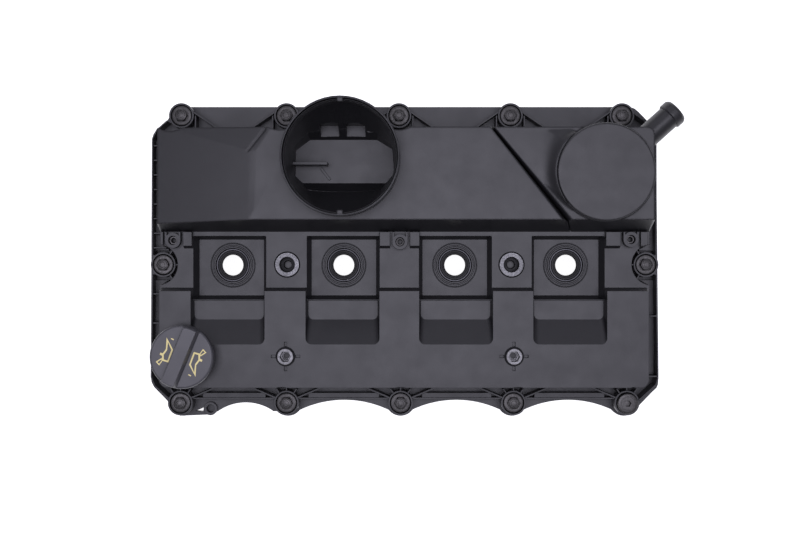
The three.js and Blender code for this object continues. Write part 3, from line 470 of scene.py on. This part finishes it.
def add_vanes_and_insert_seats(cover):
    """The tall and the low vane on the bowl's floor, and the seats of the large inserts."""
    add(cover, block(-92, -62.3, 87.2, 89.6, FUNNEL_FLOOR_Z - 1, BLOCK_Z - GAP),
        rib(-68.8, 85.7, -60.9, 75.3, 2, FUNNEL_FLOOR_Z - 1, FUNNEL_FLOOR_Z + 2),
        *[cylinder(INSERT_SEAT_R, INSERT_HOLE_Z - 4, BLOCK_Z - 1, x, INSERT_Y) for x in INSERTS])
    cut(cover, *[cylinder(INSERT_HOLE_R, INSERT_HOLE_Z, BLOCK_Z + OVER, x, INSERT_Y) for x in INSERTS])


def add_deck_seats(cover):
    """Round seats of the deck screws, with a six-sided hole and four notches round each."""
    y = DECK_INSERT_Y
    seat = [(0, 52), (8.2, 52), (8.2, DECK_Z + 0.2), (7.4, DECK_Z + 1), (7.2, DECK_SEAT_Z - 0.5),
            (6.7, DECK_SEAT_Z), (0, DECK_SEAT_Z)]
    add(cover, *[revolve(seat, 48, x, y) for x in DECK_INSERTS])
    sides = ((10.3, 0, 1.9, 1.2), (-10.3, 0, 1.9, 1.2), (0, 10.3, 1.2, 1.9), (0, -10.3, 1.2, 1.9))
    notches = [block(x + dx - w, x + dx + w, y + dy - h, y + dy + h, DECK_Z - 2.5, DECK_Z + OVER)
               for x in DECK_INSERTS for dx, dy, w, h in sides]
    cut(cover, *[cylinder(4.8, 56, 64.2, x, y) for x in DECK_INSERTS], *notches,
        *[cylinder(4.6, 64, DECK_SEAT_Z + OVER, x, y, 6) for x in DECK_INSERTS],
        *[block(x - 8.6, x + 8.6, 10, 30, BLOCK_Z, LEDGE_Z + OVER) for x, _, _, _ in CLIPS])


def add_clip_seats_and_neck(cover):
    seats = []
    for x, cy, _, _ in CLIPS:
        seats.append(cylinder(6.6, BLOCK_Z - 8, LEDGE_Z + 2, x, cy))
        seats += [rib(x + s * 5.8, cy, x + s * 5.8, LEDGE_REAR_Y, 1.5, BLOCK_Z - 2, LEDGE_Z + 2)
                  for s in (-1, 1)]
    add(cover, *seats, cylinder(NECK_R, 52, NECK_Z, *CAP, 96))
    gas_hole = block(150, 192, 48, 58, 48, BLOCK_Z + OVER)
    cut(cover, *[cylinder(3.8, 49, LEDGE_Z + 3, x, cy) for x, cy, _, _ in CLIPS],
        cylinder(NECK_BORE_R, 50, NECK_Z + OVER, *CAP, 96), gas_hole)


def cover_body():
    cover = add(flange(), body_outer())
    cut(cover, body_hollow())
    add_lining(cover)
    add_bowl(cover)
    add(cover, *boss_details(), *end_walls())
    add_vanes_and_insert_seats(cover)
    add_deck_seats(cover)
    add_clip_seats_and_neck(cover)
    add(cover, *[cylinder(5, BAFFLE_TOP_Z + GAP, BLOCK_Z - 1, x, y) for x, y in BAFFLE_POSTS])
    cut(cover, *[cylinder(2, BAFFLE_TOP_Z, BAFFLE_TOP_Z + 14, x, y, 24) for x, y in BAFFLE_POSTS],
        *[cylinder(BOSS_BORE_R, SEAT_Z, BOSS_TOP + OVER, x, y) for x, y in BOLTS],
        *[cylinder(BOSS_HOLE_R, -OVER, SEAT_Z + OVER, x, y, 32) for x, y in BOLTS])
    groove = cut(prism(seal_loop(SEAL_HALF), -OVER, SEAL_DEPTH),
                 prism(seal_loop(-SEAL_HALF), -OVER - 1, SEAL_DEPTH + 1))
    return cut(cover, groove)


# ---- upper shells -------------------------------------------------------------------
GROOVE_START, GROOVE_LEAN = (78.4, 112.9), 0.8116


def groove_x(y):
    """Middle of the slanting groove between the two shells."""
    return GROOVE_START[0] + (GROOVE_START[1] - y) * GROOVE_LEAN


def bolt_clearance():
    cylinders = [cylinder(REAR_WELL_R, BLOCK_Z, ROOF_Z + OVER, x, y, 64) for x, y in TOP_BOLTS]
    return add(cylinders[0], *cylinders[1:])


def behind_rear():
    return block(-250, 250, REAR_INSIDE_Y, 150, BLOCK_Z - 5, ROOF_Z)


def between(a, b, t):
    return a + (b - a) * t


def front_y(t):
    return between(PLENUM_FOOT_Y, PLENUM_ROOF_Y, t)


def rear_y(t):
    return between(REAR_TOP, ROOF_REAR_Y, t)


GROOVE_Z = 84
EDGE_T = (GROOVE_Z - SHELL_Z) / (ROOF_Z - SHELL_Z)
GROOVE_HALF, ROOF_BACK_FRONT, ROOF_BACK_REAR = 0.6, 4.5, 2


def shell_body(plan, d):
    """Shell from its foot to the roof, moved inward by d; the groove's edge is a quarter round."""
    layers = [(plan(0, d, GROOVE_HALF, GROOVE_HALF), SHELL_Z - (OVER if d else 0)),
              (plan(EDGE_T, d, GROOVE_HALF, GROOVE_HALF), GROOVE_Z - d)]
    if d:
        return stack(layers + [(plan(1, d, ROOF_BACK_FRONT, ROOF_BACK_REAR), ROOF_Z - d)])
    steps = 6
    for k in range(1, steps + 1):
        a = k / steps * math.pi / 2
        side, up = 1 - math.cos(a), math.sin(a)
        front = between(GROOVE_HALF, ROOF_BACK_FRONT, side)
        rear = between(GROOVE_HALF, ROOF_BACK_REAR, side)
        layers.append((plan(between(EDGE_T, 1, up), 0, front, rear), between(GROOVE_Z, ROOF_Z, up)))
    return stack(layers)


def plenum_plan(t, d, front, rear):
    left = between(PLENUM_LEFT, ROOF_LEFT_X, t) + d
    return [(left, front_y(t) + d), (groove_x(front_y(t)) - front - 1.6 * d, front_y(t) + d),
            (groove_x(rear_y(t)) - rear - 1.6 * d, rear_y(t) - d), (left, rear_y(t) - d)]


SLOPE_X, SLOPE = -119, 12 / 81
FACET_START, FACET_TURN, FACET_FALL = (-125.9, 96.1), 0.283, 0.08
EDGE_RUN, EDGE_DROP = 7, 2.0


def slope_cut(down):
    """What is cut off the left end of the plenum: a slope with a second facet at its rear."""
    edge = [(-129.7, 20), (-129.5, 41), (-127.4, 46), (-124.5, 51), (-122.2, 55.5), (-120.7, 60),
            (-119.6, 67), (-119.3, 75.6), (-119.5, 83), (-120.3, 90), FACET_START, (-112, 113.7),
            (-110, 130)]
    outside = [(-215, y) for _, y in reversed(edge)]

    def fall(x, y):
        return ROOF_Z + (x - SLOPE_X) * SLOPE - down

    def facet(x, y):
        return fall(x, y) - (y - FACET_START[1] + (x - FACET_START[0]) * FACET_TURN) * FACET_FALL

    low, high = edge + outside, [(x + EDGE_RUN, y) for x, y in edge] + outside
    return keep(stack([(low, ROOF_Z - 40), (low, ROOF_Z - down - EDGE_DROP), (high, ROOF_Z - down),
                       (high, ROOF_Z + 6)]),
                add(above(fall, -216, SLOPE_X, 10, 140, ROOF_Z + 20),
                    above(facet, -216, -100, 10, 140, ROOF_Z + 20)))


def crease():
    """V-shaped crease along the edge of the rear facet."""
    low = [(-126.2, 95.3), (-125.9, 95.2), (-125.5, 95.6), (-112, 112.9), (-111, 117), (-111.5, 117),
           (-112.5, 113.2), (-126.2, 96)]
    high = [(-129.4, 93.6), (-125.6, 92), (-122.6, 95.2), (-109.4, 111.9), (-108, 117.5),
            (-114.5, 117.5), (-116, 113.9), (-128.8, 98)]
    return loft(low, high, ROOF_Z - 1.6, ROOF_Z + 0.9)


TAB_HALF_X, TAB_HALF_Y, TAB_REACH, TAB_FOOT_Z, TAB_TOP_Z = 2.4, 1.6, 45.4, 115, 117.6


def collar_tab(side):
    x, y = COLLAR[0], COLLAR[1] + side * TAB_REACH
    return block(x - TAB_HALF_X, x + TAB_HALF_X, y - TAB_HALF_Y, y + TAB_HALF_Y, TAB_FOOT_Z, TAB_TOP_Z)


def plenum_shell():
    shell = cut(shell_body(plenum_plan, 0), slope_cut(0), bolt_clearance())
    cut(shell, crease())
    hollow = cut(shell_body(plenum_plan, WALL), slope_cut(WALL), behind_rear())
    cut(shell, hollow)
    add(shell, cut(bowl_outer(), below(SHELL_Z)))
    cut(shell, bowl_inner(), cylinder(46.9, 110, COLLAR_Z + OVER, *COLLAR, 128))
    return add(shell, collar_tab(-1), collar_tab(1))


def swept(verts, sides, steps):
    """Body from steps + 1 sections that follow each other, with `sides` points each."""
    faces = []
    for i in range(steps):
        here, there = sides * i, sides * (i + 1)
        faces += [(here + k, here + (k + 1) % sides, there + (k + 1) % sides, there + k)
                  for k in range(sides)]
    faces += [tuple(range(sides - 1, -1, -1)), tuple(range(sides * steps, sides * (steps + 1)))]
    return solid(verts, faces)


APRON_R, APRON_TOP_Z = DISC_R + GAP, 98.2
APRON_START, APRON_CORNER, APRON_END_X = (140.5, 42.2), (82, 113.6), 141
APRON_CURVE = ((18, 0.04), (13, 0.14), (9, 0.3), (6, 0.5), (3.6, 0.73), (1.8, 0.91), (0.7, 0.99), (0, 1))


def apron():
    """On the left the roof rises from the groove and the rear edge to the regulator's cap."""
    steps, turn = 64, 0.6
    verts = []
    for i in range(steps + 1):
        t = i / steps
        if t < turn:
            edge = [between(a, b, t / turn) for a, b in zip(APRON_START, APRON_CORNER)]
        else:
            edge = [between(APRON_CORNER[0], APRON_END_X, (t - turn) / (1 - turn)), APRON_CORNER[1]]
        angle = math.radians(between(234, 126, t))
        # the rise fades to nothing at the groove's lower end and to under half at the other end
        lift = min(1, t / 0.22, 0.45 + (1 - t) / 0.3)
        lift = lift * lift * (3 - 2 * lift)
        rim = ROOF_Z + (APRON_TOP_Z - ROOF_Z) * lift
        verts += [(*edge, ROOF_Z - 1), (*edge, ROOF_Z - 0.02)]
        px, py = DISC[0] + APRON_R * math.cos(angle), DISC[1] + APRON_R * math.sin(angle)
        width = math.hypot(edge[0] - px, edge[1] - py)
        for out, rise in APRON_CURVE:
            share = out / width * min(1, width / 20)
            verts.append((between(px, edge[0], share), between(py, edge[1], share),
                          between(ROOF_Z, rim, rise)))
        verts.append((px, py, ROOF_Z - 1))
    return swept(verts, len(APRON_CURVE) + 3, steps)


def separator_plan(t, d, front, rear):
    right = between(213.2, ROOF_RIGHT_X, t) - d
    c = between(8.2, 5.5, t)
    return [(groove_x(front_y(t)) + front + 1.6 * d, front_y(t) + d), (right, front_y(t) + d),
            (right, rear_y(t) - d - c), (right - 0.3 * c, rear_y(t) - d - 0.3 * c),
            (right - c, rear_y(t) - d), (groove_x(rear_y(t)) + rear + 1.6 * d, rear_y(t) - d)]


HOUSING_FOOT_Z, HOUSING_TOP_Z = 78, 95.5
RIM_R, RIM_Z, ROOM_R, ROOM_Z = 37.5, 92, 34, 81
PIPE_R, PIPE_BORE_R, PIPE_TOP_Z = 11, 8.5, 86


def separator_shell():
    shell = shell_body(separator_plan, 0)
    cut(shell, cut(shell_body(separator_plan, WALL), behind_rear()))
    # the regulator's housing: a step for the membrane's rim, the room below it and a pipe
    add(shell, cylinder(APRON_R + 0.3, HOUSING_FOOT_Z, HOUSING_TOP_Z, *DISC, 128), apron())
    cut(shell, keep(bolt_clearance(), below(90)),
        cylinder(RIM_R, RIM_Z, HOUSING_TOP_Z + OVER, *DISC, 96),
        cylinder(ROOM_R, ROOM_Z, RIM_Z + OVER, *DISC, 96))
    add(shell, cylinder(PIPE_R, HOUSING_FOOT_Z, PIPE_TOP_Z, *DISC))
    return cut(shell, cylinder(PIPE_BORE_R, HOUSING_FOOT_Z - OVER, PIPE_TOP_Z + OVER, *DISC),
               nozzle_body(NOZZLE_R + GAP, NOZZLE_R + GAP, 0))


def nozzle_body(radius, bead, bore):
    end = NOZZLE_LENGTH
    profile = [(bore, 0), (radius, 0), (radius, end - 8.9), (radius + 0.5 * (bead - radius), end - 8.8),
               (bead, end - 8), (bead, end - 2.6), (bead - 0.4, end - 1.5), (bead - 1.6, end), (bore, end)]
    if bore:
        profile[-1:] = [(bore + 0.8, end), (bore, end - 0.8)]
    made = revolve(profile, 64, closed=bool(bore))
    turn = Matrix.Rotation(NOZZLE_ANGLE, 4, "Z") @ Matrix.Rotation(math.pi / 2, 4, "Y")
    made.data.transform(Matrix.Translation((*NOZZLE_BASE, NOZZLE_Z)) @ turn)
    return made


# ---- materials ----------------------------------------------------------------------
def node_material(name, color, roughness, metallic=0.0, grain=0.0, grain_size=0.5, mottle=0.15,
                  edge=0.0, bevel=0.0004, rough_spread=0.08, specular=0.5, scratches=0.0, cloud=14.0,
                  painted_shade_below=None):
    """Principled material with grain bump, colour and roughness variation, soft worn edges and painted shade
    below a height.
    """
    material = bpy.data.materials.new(name)
    material.use_nodes = True
    tree = material.node_tree
    tree.nodes.clear()
    new = tree.nodes.new
    link = tree.links.new
    out = new("ShaderNodeOutputMaterial")
    shader = new("ShaderNodeBsdfPrincipled")
    link(shader.outputs["BSDF"], out.inputs["Surface"])
    shader.inputs["Metallic"].default_value = metallic
    shader.inputs["Specular IOR Level"].default_value = specular
    coords = new("ShaderNodeTexCoord")

    def noise(scale, detail=4.0):
        node = new("ShaderNodeTexNoise")
        node.inputs["Scale"].default_value = scale
        node.inputs["Detail"].default_value = detail
        link(coords.outputs["Object"], node.inputs["Vector"])
        return node.outputs["Fac"]

    def ramp(source, low, high, a=0.3, b=0.7):
        node = new("ShaderNodeMapRange")
        node.inputs["From Min"].default_value = a
        node.inputs["From Max"].default_value = b
        node.inputs["To Min"].default_value = low
        node.inputs["To Max"].default_value = high
        link(source, node.inputs["Value"])
        return node.outputs["Result"]

    def mixed(factor, a, b):
        node = new("ShaderNodeMix")
        node.data_type = "RGBA"
        link(factor, node.inputs["Factor"])
        for value, socket in ((a, node.inputs["A"]), (b, node.inputs["B"])):
            if isinstance(value, tuple):
                socket.default_value = (*value, 1)
            else:
                link(value, socket)
        return node.outputs["Result"]

    cloudy = noise(cloud, 3.0)
    dark = tuple(c * (1 - mottle) for c in color)
    light = tuple(min(1.0, c * (1 + mottle)) for c in color)
    tint = mixed(ramp(cloudy, 0, 1), dark, light)
    rough = ramp(noise(60.0, 5.0), roughness - rough_spread, roughness + rough_spread)
    soft = new("ShaderNodeBevel")
    soft.samples = 6
    soft.inputs["Radius"].default_value = bevel
    if edge:
        geometry = new("ShaderNodeNewGeometry")
        dot = new("ShaderNodeVectorMath")
        dot.operation = "DOT_PRODUCT"
        link(soft.outputs["Normal"], dot.inputs[0])
        link(geometry.outputs["Normal"], dot.inputs[1])
        worn = ramp(dot.outputs["Value"], edge, 0.0, 0.8, 0.99)
        patchy = new("ShaderNodeMath")
        patchy.operation = "MULTIPLY"
        link(worn, patchy.inputs[0])
        link(ramp(noise(90.0, 6.0), 0.4, 1.0), patchy.inputs[1])
        tint = mixed(patchy.outputs[0], tint, tuple(min(1.0, c * 3.2 + 0.02) for c in color))
    if painted_shade_below:
        # painted shade in a bore: darker below a height
        parts = new("ShaderNodeSeparateXYZ")
        link(coords.outputs["Object"], parts.inputs["Vector"])
        tint = mixed(ramp(parts.outputs["Z"], 1.0, 0.0, painted_shade_below - 0.002, painted_shade_below), tint,
                     tuple(c * 0.12 for c in color))
    link(tint, shader.inputs["Base Color"])
    link(rough, shader.inputs["Roughness"])
    height = noise(1000.0 / grain_size, 3.0)
    if scratches:
        stretch = new("ShaderNodeMapping")
        stretch.inputs["Scale"].default_value = (1, 1, 14)
        link(coords.outputs["Object"], stretch.inputs["Vector"])
        lines = new("ShaderNodeTexNoise")
        lines.inputs["Scale"].default_value = 700
        link(stretch.outputs["Vector"], lines.inputs["Vector"])
        both = new("ShaderNodeMath")
        both.operation = "ADD"
        link(height, both.inputs[0])
        link(lines.outputs["Fac"], both.inputs[1])
        height = both.outputs[0]
    bump = new("ShaderNodeBump")
    bump.inputs["Strength"].default_value = grain
    bump.inputs["Distance"].default_value = 0.0002
    link(height, bump.inputs["Height"])
    link(soft.outputs["Normal"], bump.inputs["Normal"])
    link(bump.outputs["Normal"], shader.inputs["Normal"])
    return material


NYLON = node_material("black_nylon", (0.014, 0.0138, 0.0158), 0.41, grain=0.2, grain_size=0.45,
                      mottle=0.05, edge=0.3, bevel=0.0005, rough_spread=0.03)
SHELL_NYLON = node_material("shell_nylon", (0.014, 0.0138, 0.0158), 0.41, grain=0.2, grain_size=0.45,
                            mottle=0.05, edge=0.0, bevel=0.0022, rough_spread=0.03)
CAP_PLASTIC = node_material("cap_plastic", (0.062, 0.061, 0.069), 0.42, grain=0.15, grain_size=0.6,
                            mottle=0.05, edge=0.25, bevel=0.0003, rough_spread=0.03)
RUBBER = node_material("black_rubber", (0.011, 0.011, 0.012), 0.5, grain=0.3, grain_size=0.3,
                       mottle=0.2, bevel=0.0003, specular=0.3)
DARK_ZINC = node_material("zinc_steel", (0.072, 0.07, 0.069), 0.44, 1.0, grain=0.12, grain_size=0.25,
                          mottle=0.22, edge=0.5, bevel=0.0002, scratches=1, cloud=500)
# painted shade: the inserts are darkened below their top rim, which paints shade into their bore
STEEL = node_material("insert_steel", (0.15, 0.15, 0.155), 0.45, 1.0, grain=0.6, grain_size=0.7,
                      mottle=0.5, edge=0.4, bevel=0.0002, scratches=1, cloud=900, painted_shade_below=0.0538)
SEAT_ZINC = node_material("seat_zinc", (0.15, 0.149, 0.153), 0.42, 1.0, grain=0.3, grain_size=0.4,
                          mottle=0.3, edge=0.4, bevel=0.0002, scratches=1, cloud=700)
BLACK_STEEL = node_material("black_steel", (0.045, 0.045, 0.05), 0.35, 0.6, grain=0.1,
                            grain_size=0.3, mottle=0.2, edge=0.4, bevel=0.0002)
YELLOW = node_material("yellow_print", (0.88, 0.76, 0.34), 0.6, grain=0.1, mottle=0.12,
                       bevel=0.00005)

SMOOTH_ANGLE = math.radians(24)


def finish_piece(made, name, material, body, *nodes):
    """Moves a millimetre solid to the row frame, shades it and hands it to the frame."""
    mesh = made.data
    bm = bmesh.new()
    bm.from_mesh(mesh)
    bmesh.ops.remove_doubles(bm, verts=bm.verts, dist=2e-4)
    bmesh.ops.dissolve_limit(bm, angle_limit=math.radians(0.4), verts=bm.verts, edges=bm.edges)
    for face in bm.faces:
        face.smooth = True
    for e in bm.edges:
        e.smooth = len(e.link_faces) == 2 and e.calc_face_angle(0) < SMOOTH_ANGLE
    bm.to_mesh(mesh)
    bm.free()
    mesh.transform(Matrix.Scale(0.001, 4) @ Matrix.Translation(SHIFT))
    mesh.materials.clear()
    mesh.materials.append(material)
    made.name = name
    mesh.name = name
    flat = made.modifiers.new("flat", "WEIGHTED_NORMAL")
    flat.keep_sharp = True
    if body:
        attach(made, body)
    if nodes:
        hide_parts(*nodes)
    return made


# ---- pieces -------------------------------------------------------------------------
finish_piece(cover_body(), "cover_body", NYLON, "cover", "cover_base")
finish_piece(plenum_shell(), "plenum", SHELL_NYLON, "cover", "plenum_shell")
finish_piece(separator_shell(), "separator", SHELL_NYLON, "cover", "separator_shell")
finish_piece(nozzle_body(NOZZLE_R, NOZZLE_BEAD_R, NOZZLE_BORE_R), "nozzle", NYLON, "cover", "breather_nozzle")
regulator = revolve([(0, 98), (35, 98), (35, 95.8), (40.1, 95.8), (40.3, 96), (40.3, 99.0), (40.2, 99.5),
                     (39.8, 99.9), (39.2, 100.1), (38.4, 100.2), (0, 100.2)], 128, *DISC)
finish_piece(regulator, "regulator_cap", NYLON, "cover", "pcv_cap")
collar_seal = revolve([(45.5, 110.5), (45.7, 110.3), (46.3, 110.3), (46.5, 110.5), (46.5, 114.2),
                       (46.2, 114.6), (45.8, 114.6), (45.5, 114.2)], 96, *COLLAR, True)
finish_piece(collar_seal, "intake_seal", RUBBER, "cover", "collar_seal")


def coil(radius, wire, z0, z1, turns, steps, x, y):
    sides = 12
    verts = []
    for i in range(steps + 1):
        a = 2 * math.pi * turns * i / steps
        c, s, z = math.cos(a), math.sin(a), between(z0, z1, i / steps)
        for k in range(sides):
            b = 2 * math.pi * k / sides
            r = radius + wire * math.cos(b)
            verts.append((x + r * c, y + r * s, z + wire * math.sin(b)))
    return swept(verts, sides, steps)


SPRING_R, WIRE_R, SPRING_FOOT_Z, SPRING_TOP_Z, SPRING_TURNS = 13.5, 0.8, 81.4, 90, 3
spring = finish_piece(coil(SPRING_R, WIRE_R, SPRING_FOOT_Z + WIRE_R, SPRING_TOP_Z - WIRE_R, SPRING_TURNS,
                           132, *DISC), "regulator_spring", STEEL, "cover", "pcv_spring")
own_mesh(spring)
# the real membrane's rim is held in the cover and its middle goes with the plate; here it is one piece that
# is not attached to a frame
membrane = revolve([(0, 90.2), (20, 90.2), (22.4, 89.3), (24.2, 88.4), (25.6, 88.5), (27.2, 89.4),
                    (31, 92.3), (37.2, 92.3), (37.2, 93.8), (30.4, 93.8), (26.6, 90.8), (25.2, 89.9),
                    (24.4, 90), (22.4, 91), (20, 91.6), (0, 91.6)], 96, *DISC)
finish_piece(membrane, "regulator_membrane", RUBBER, None, "pcv_diaphragm")
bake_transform(membrane)

for i, x in enumerate(POCKETS, 1):
    lip = revolve([(10.8, 34), (12.88, 34), (12.88, 41.6), (12.4, 42.1), (11.2, 42.2), (10.9, 41.7),
                   (10.4, 41.7), (10.2, 42.0), (9.7, 42.0), (9.2, 41.5), (8.95, 40.9), (8.95, 39.6),
                   (9.6, 38.9), (10.8, 38)], 96, x, ROW_Y, True)
    finish_piece(lip, f"seal_{i}", RUBBER, "cover", f"injector_seal_{i}")
    case = revolve([(12.9, 34), (14.1, 34), (14.1, 41.5), (13.9, 41.8), (13.1, 41.8), (12.9, 41.5)],
                   96, x, ROW_Y, True)
    finish_piece(case, f"case_{i}", BLACK_STEEL, "cover", f"seal_case_{i}")

for i, x in enumerate(INSERTS, 1):
    knurled = revolve([(3.2, 40.3), (10.1, 40.3), (10.5, 40.7), (10.5, 54.1), (10.1, 54.5), (6.8, 54.5),
                       (6.3, 54), (6.3, 46), (3.7, 46), (3.2, 45.5)], 96, x, INSERT_Y, True)
    finish_piece(knurled, f"insert_{i}", STEEL, "cover", f"large_insert_{i}")
for i, x in enumerate(DECK_INSERTS, 1):
    hexed = cylinder(4.5, 56.3, 63.8, x, DECK_INSERT_Y)
    cut(hexed, cylinder(3.5, 58, 65, x, DECK_INSERT_Y, 6), cylinder(2.6, 55, 60, x, DECK_INSERT_Y))
    add(hexed, cut(revolve([(0, DECK_SEAT_Z + 0.02), (6.9, DECK_SEAT_Z + 0.02), (6.9, DECK_SEAT_Z + 0.3),
                            (6.5, DECK_SEAT_Z + 0.6), (0, DECK_SEAT_Z + 0.6)], 64, x, DECK_INSERT_Y),
                   cylinder(4.9, DECK_SEAT_Z - 1, DECK_SEAT_Z + 2, x, DECK_INSERT_Y, 6)))
    finish_piece(hexed, f"deck_socket_{i}", SEAT_ZINC, "cover", f"deck_insert_{i}")
for i, (x, y, _, _) in enumerate(CLIPS, 1):
    sleeve = revolve([(1.9, 49.3), (3.5, 49.3), (3.5, 56.8), (3.3, 57), (2.3, 57), (1.9, 56.6)],
                     48, x, y, True)
    finish_piece(sleeve, f"clip_sleeve_{i}", DARK_ZINC, "cover", f"clip_insert_{i}")

UNDER_HEAD, HEX_R, WASHER_H, SOCKET_HEAD_H = 22.8, 5.77, 1.8, 6.8


def bolt(x, y, socket):
    """Hexagon flange bolt, or one with a tall round head and a hexagon socket."""
    top = UNDER_HEAD + (SOCKET_HEAD_H if socket else WASHER_H)
    shank = revolve([(0, 0), (2.2, 0), (2.5, 0.3), (3, 2.5), (3, UNDER_HEAD), (8.7, UNDER_HEAD),
                     (8.9, UNDER_HEAD + 0.2), (8.9, top - 0.7), (8.6, top - 0.3), (8.0, top),
                     (6.4, top + 0.15), (0, top + 0.15)], 64, x, y)
    if socket:
        return cut(shank, cylinder(3, top - 5, top + 1, x, y, 6),
                   tube(5.6, 6.3, top - 0.25, top + 1, x, y, 64))
    head = cylinder(HEX_R, top - 0.5, top + 6, x, y, 6)
    dome = revolve([(0, top - 1), (6.2, top - 1), (6.2, top + 4.4), (5.0, top + 5.5), (4.0, top + 5.8),
                    (3.7, top + 5.5), (2.6, top + 5.7), (2.3, top + 5.4), (0, top + 5.8)], 64, x, y)
    return add(shank, keep(head, dome))


for i, (x, y) in enumerate(BOLTS, 1):
    finish_piece(bolt(x, y, i == len(BOLTS)), f"captive_bolt_{i}", DARK_ZINC, f"bolt_body_{i}", f"bolt_{i}")
    sleeve = revolve([(3.5, 3), (5.7, 3), (5.7, SEAT_Z + GAP), (8.8, SEAT_Z + GAP), (8.8, 10),
                      (8.3, 10.5), (4, 10.5), (3.5, 10)], 48, x, y, True)
    finish_piece(sleeve, f"grommet_{i}", RUBBER, "cover", f"bolt_grommet_{i}")


# ---- filler cap ---------------------------------------------------------------------
def turned(points, angle=GRIP_ANGLE):
    c, s = math.cos(angle), math.sin(angle)
    return [(CAP[0] + a * c - b * s, CAP[1] + a * s + b * c) for a, b in points]


disc = revolve([(0, 60), (14.6, 60), (15.4, 60.5), (17.2, 63), (17.2, 69.7), (15.4, 69.7), (15.4, 73.7),
                (17.2, 73.7), (17.2, NECK_Z + GAP), (24.5, NECK_Z + GAP), (26.2, 79.6), (CAP_R, 80.2),
                (CAP_R, 86), (26.2, 86.9), (25.5, 87.6), (24.6, CAP_Z), (0, CAP_Z)], 128, *CAP)
grip = stack([(turned([(-30, b0), (30, b0), (30, b1), (-30, b1)]), CAP_Z + z)
              for b0, b1, z in ((-6.5, 8.2, -1), (-4.4, 7.2, 6.2), (-4.1, 6.9, 6.8), (-3.4, 6.2, 7))])
keep(grip, revolve([(0, CAP_Z - 2), (26.2, CAP_Z - 2), (26.2, CAP_Z + 0.5), (25.6, CAP_Z + 5.5),
                    (24.6, CAP_Z + 6.8), (23.6, CAP_Z + 7), (0, CAP_Z + 7)], 96, *CAP))
finish_piece(add(disc, grip), "oil_cap", CAP_PLASTIC, "cap", "filler_cap")
cap_ring = revolve([(15.8, 70.6), (16.1, 70.1), (17.0, 70.1), (17.3, 70.6), (17.3, 72.8), (17.0, 73.3),
                    (16.1, 73.3), (15.8, 72.8)], 64, *CAP, True)
finish_piece(cap_ring, "oil_cap_ring", RUBBER, "cap_carrier", "filler_cap_seal")

MARK_DEPTH, MARK_HEIGHT = 0.3, 0.06


def oil_can(angle):
    """A plain oil-can outline that stands a little above the cap."""
    def mark(*points):
        return prism(turned(points, angle), CAP_Z - MARK_DEPTH, CAP_Z + MARK_HEIGHT)

    can = cut(mark((10.5, 17.3), (3.2, 8.5), (-8.1, 8.1), (-8.7, 13.6), (-3.6, 15.5), (1.4, 14.2)),
              mark((7.6, 14.9), (2.5, 9.8), (-6.9, 9.4), (-7.2, 12.5), (-3.6, 14.1), (0.9, 12.9)))
    loop = cut(mark((-7.4, 12.8), (-7, 14.9), (-11.5, 18), (-13.3, 14.2)),
               mark((-8.4, 13.8), (-8.1, 14.5), (-11.2, 16.6), (-12, 14.7)))
    knob = mark((-4.9, 15), (-2.9, 15.2), (-3, 17.3), (-4.8, 17.2))
    drop = mark((10.5, 11.2), (11.4, 11), (11.7, 13.3), (10.8, 13.8))
    return add(can, add(loop, knob), drop)


for i, half_turn in enumerate((0, math.pi), 1):
    finish_piece(oil_can(GRIP_ANGLE + half_turn), f"oil_mark_{i}", YELLOW, "cap")

# ---- CAD pieces that stay -----------------------------------------------------------
KEPT = {"cover_gasket": RUBBER, "oil_baffle": NYLON, "pcv_plate": BLACK_STEEL}
KEPT.update({f"baffle_screw_{n}": DARK_ZINC for n in range(1, 5)})
for node, material in KEPT.items():
    made = NODES[node]
    if not made.material_slots:
        made.data.materials.append(None)
    for s in made.material_slots:
        s.material = material

# ---- floor and light ----------------------------------------------------------------
FLOOR_HALF, FLOOR_GAP = 6, 0.0006
floor_mesh = bpy.data.meshes.new("floor")
floor_mesh.from_pydata([(x, y, 0) for x, y in rect(-FLOOR_HALF, FLOOR_HALF, -FLOOR_HALF, FLOOR_HALF)],
                       [], [(0, 1, 2, 3)])
floor = bpy.data.objects.new("floor", floor_mesh)
bpy.context.scene.collection.objects.link(floor)
floor.location.z = -FLOOR_GAP
floor_material = bpy.data.materials.new("floor")
floor_material.use_nodes = True
floor_shader = floor_material.node_tree.nodes["Principled BSDF"]
floor_shader.inputs["Base Color"].default_value = (0.9, 0.9, 0.9, 1)
floor_shader.inputs["Roughness"].default_value = 0.9
floor_shader.inputs["Emission Color"].default_value = (1, 1, 1, 1)
floor_shader.inputs["Emission Strength"].default_value = 0.85
floor_mesh.materials.append(floor_material)


LAMP_COLOR, WORLD_COLOR, WORLD_STRENGTH = (1, 0.98, 1.14), (0.95, 0.94, 1.06), 0.26


def softbox(name, location, width, depth, watts):
    """Rectangular lamp that points at the row frame's origin."""
    data = bpy.data.lights.new(name, "AREA")
    data.shape = "RECTANGLE"
    data.size = width
    data.size_y = depth
    data.energy = watts
    data.color = LAMP_COLOR
    lamp = bpy.data.objects.new(name, data)
    bpy.context.scene.collection.objects.link(lamp)
    lamp.location = location
    lamp.rotation_mode = "QUATERNION"
    lamp.rotation_quaternion = (Vector(location) * -1).to_track_quat("-Z", "Y")


softbox("overhead", (0, 0, 1.7), width=1.6, depth=0.9, watts=16)
softbox("rear", (0, 1.25, 1.0), width=1.6, depth=0.7, watts=2.6)
world = bpy.data.worlds.new("world")
bpy.context.scene.world = world
world.use_nodes = True
sky = world.node_tree.nodes["Background"]
sky.inputs["Color"].default_value = (*WORLD_COLOR, 1)
sky.inputs["Strength"].default_value = WORLD_STRENGTH
bpy.context.scene.view_settings.view_transform = "Standard"

bpy.context.view_layer.update()
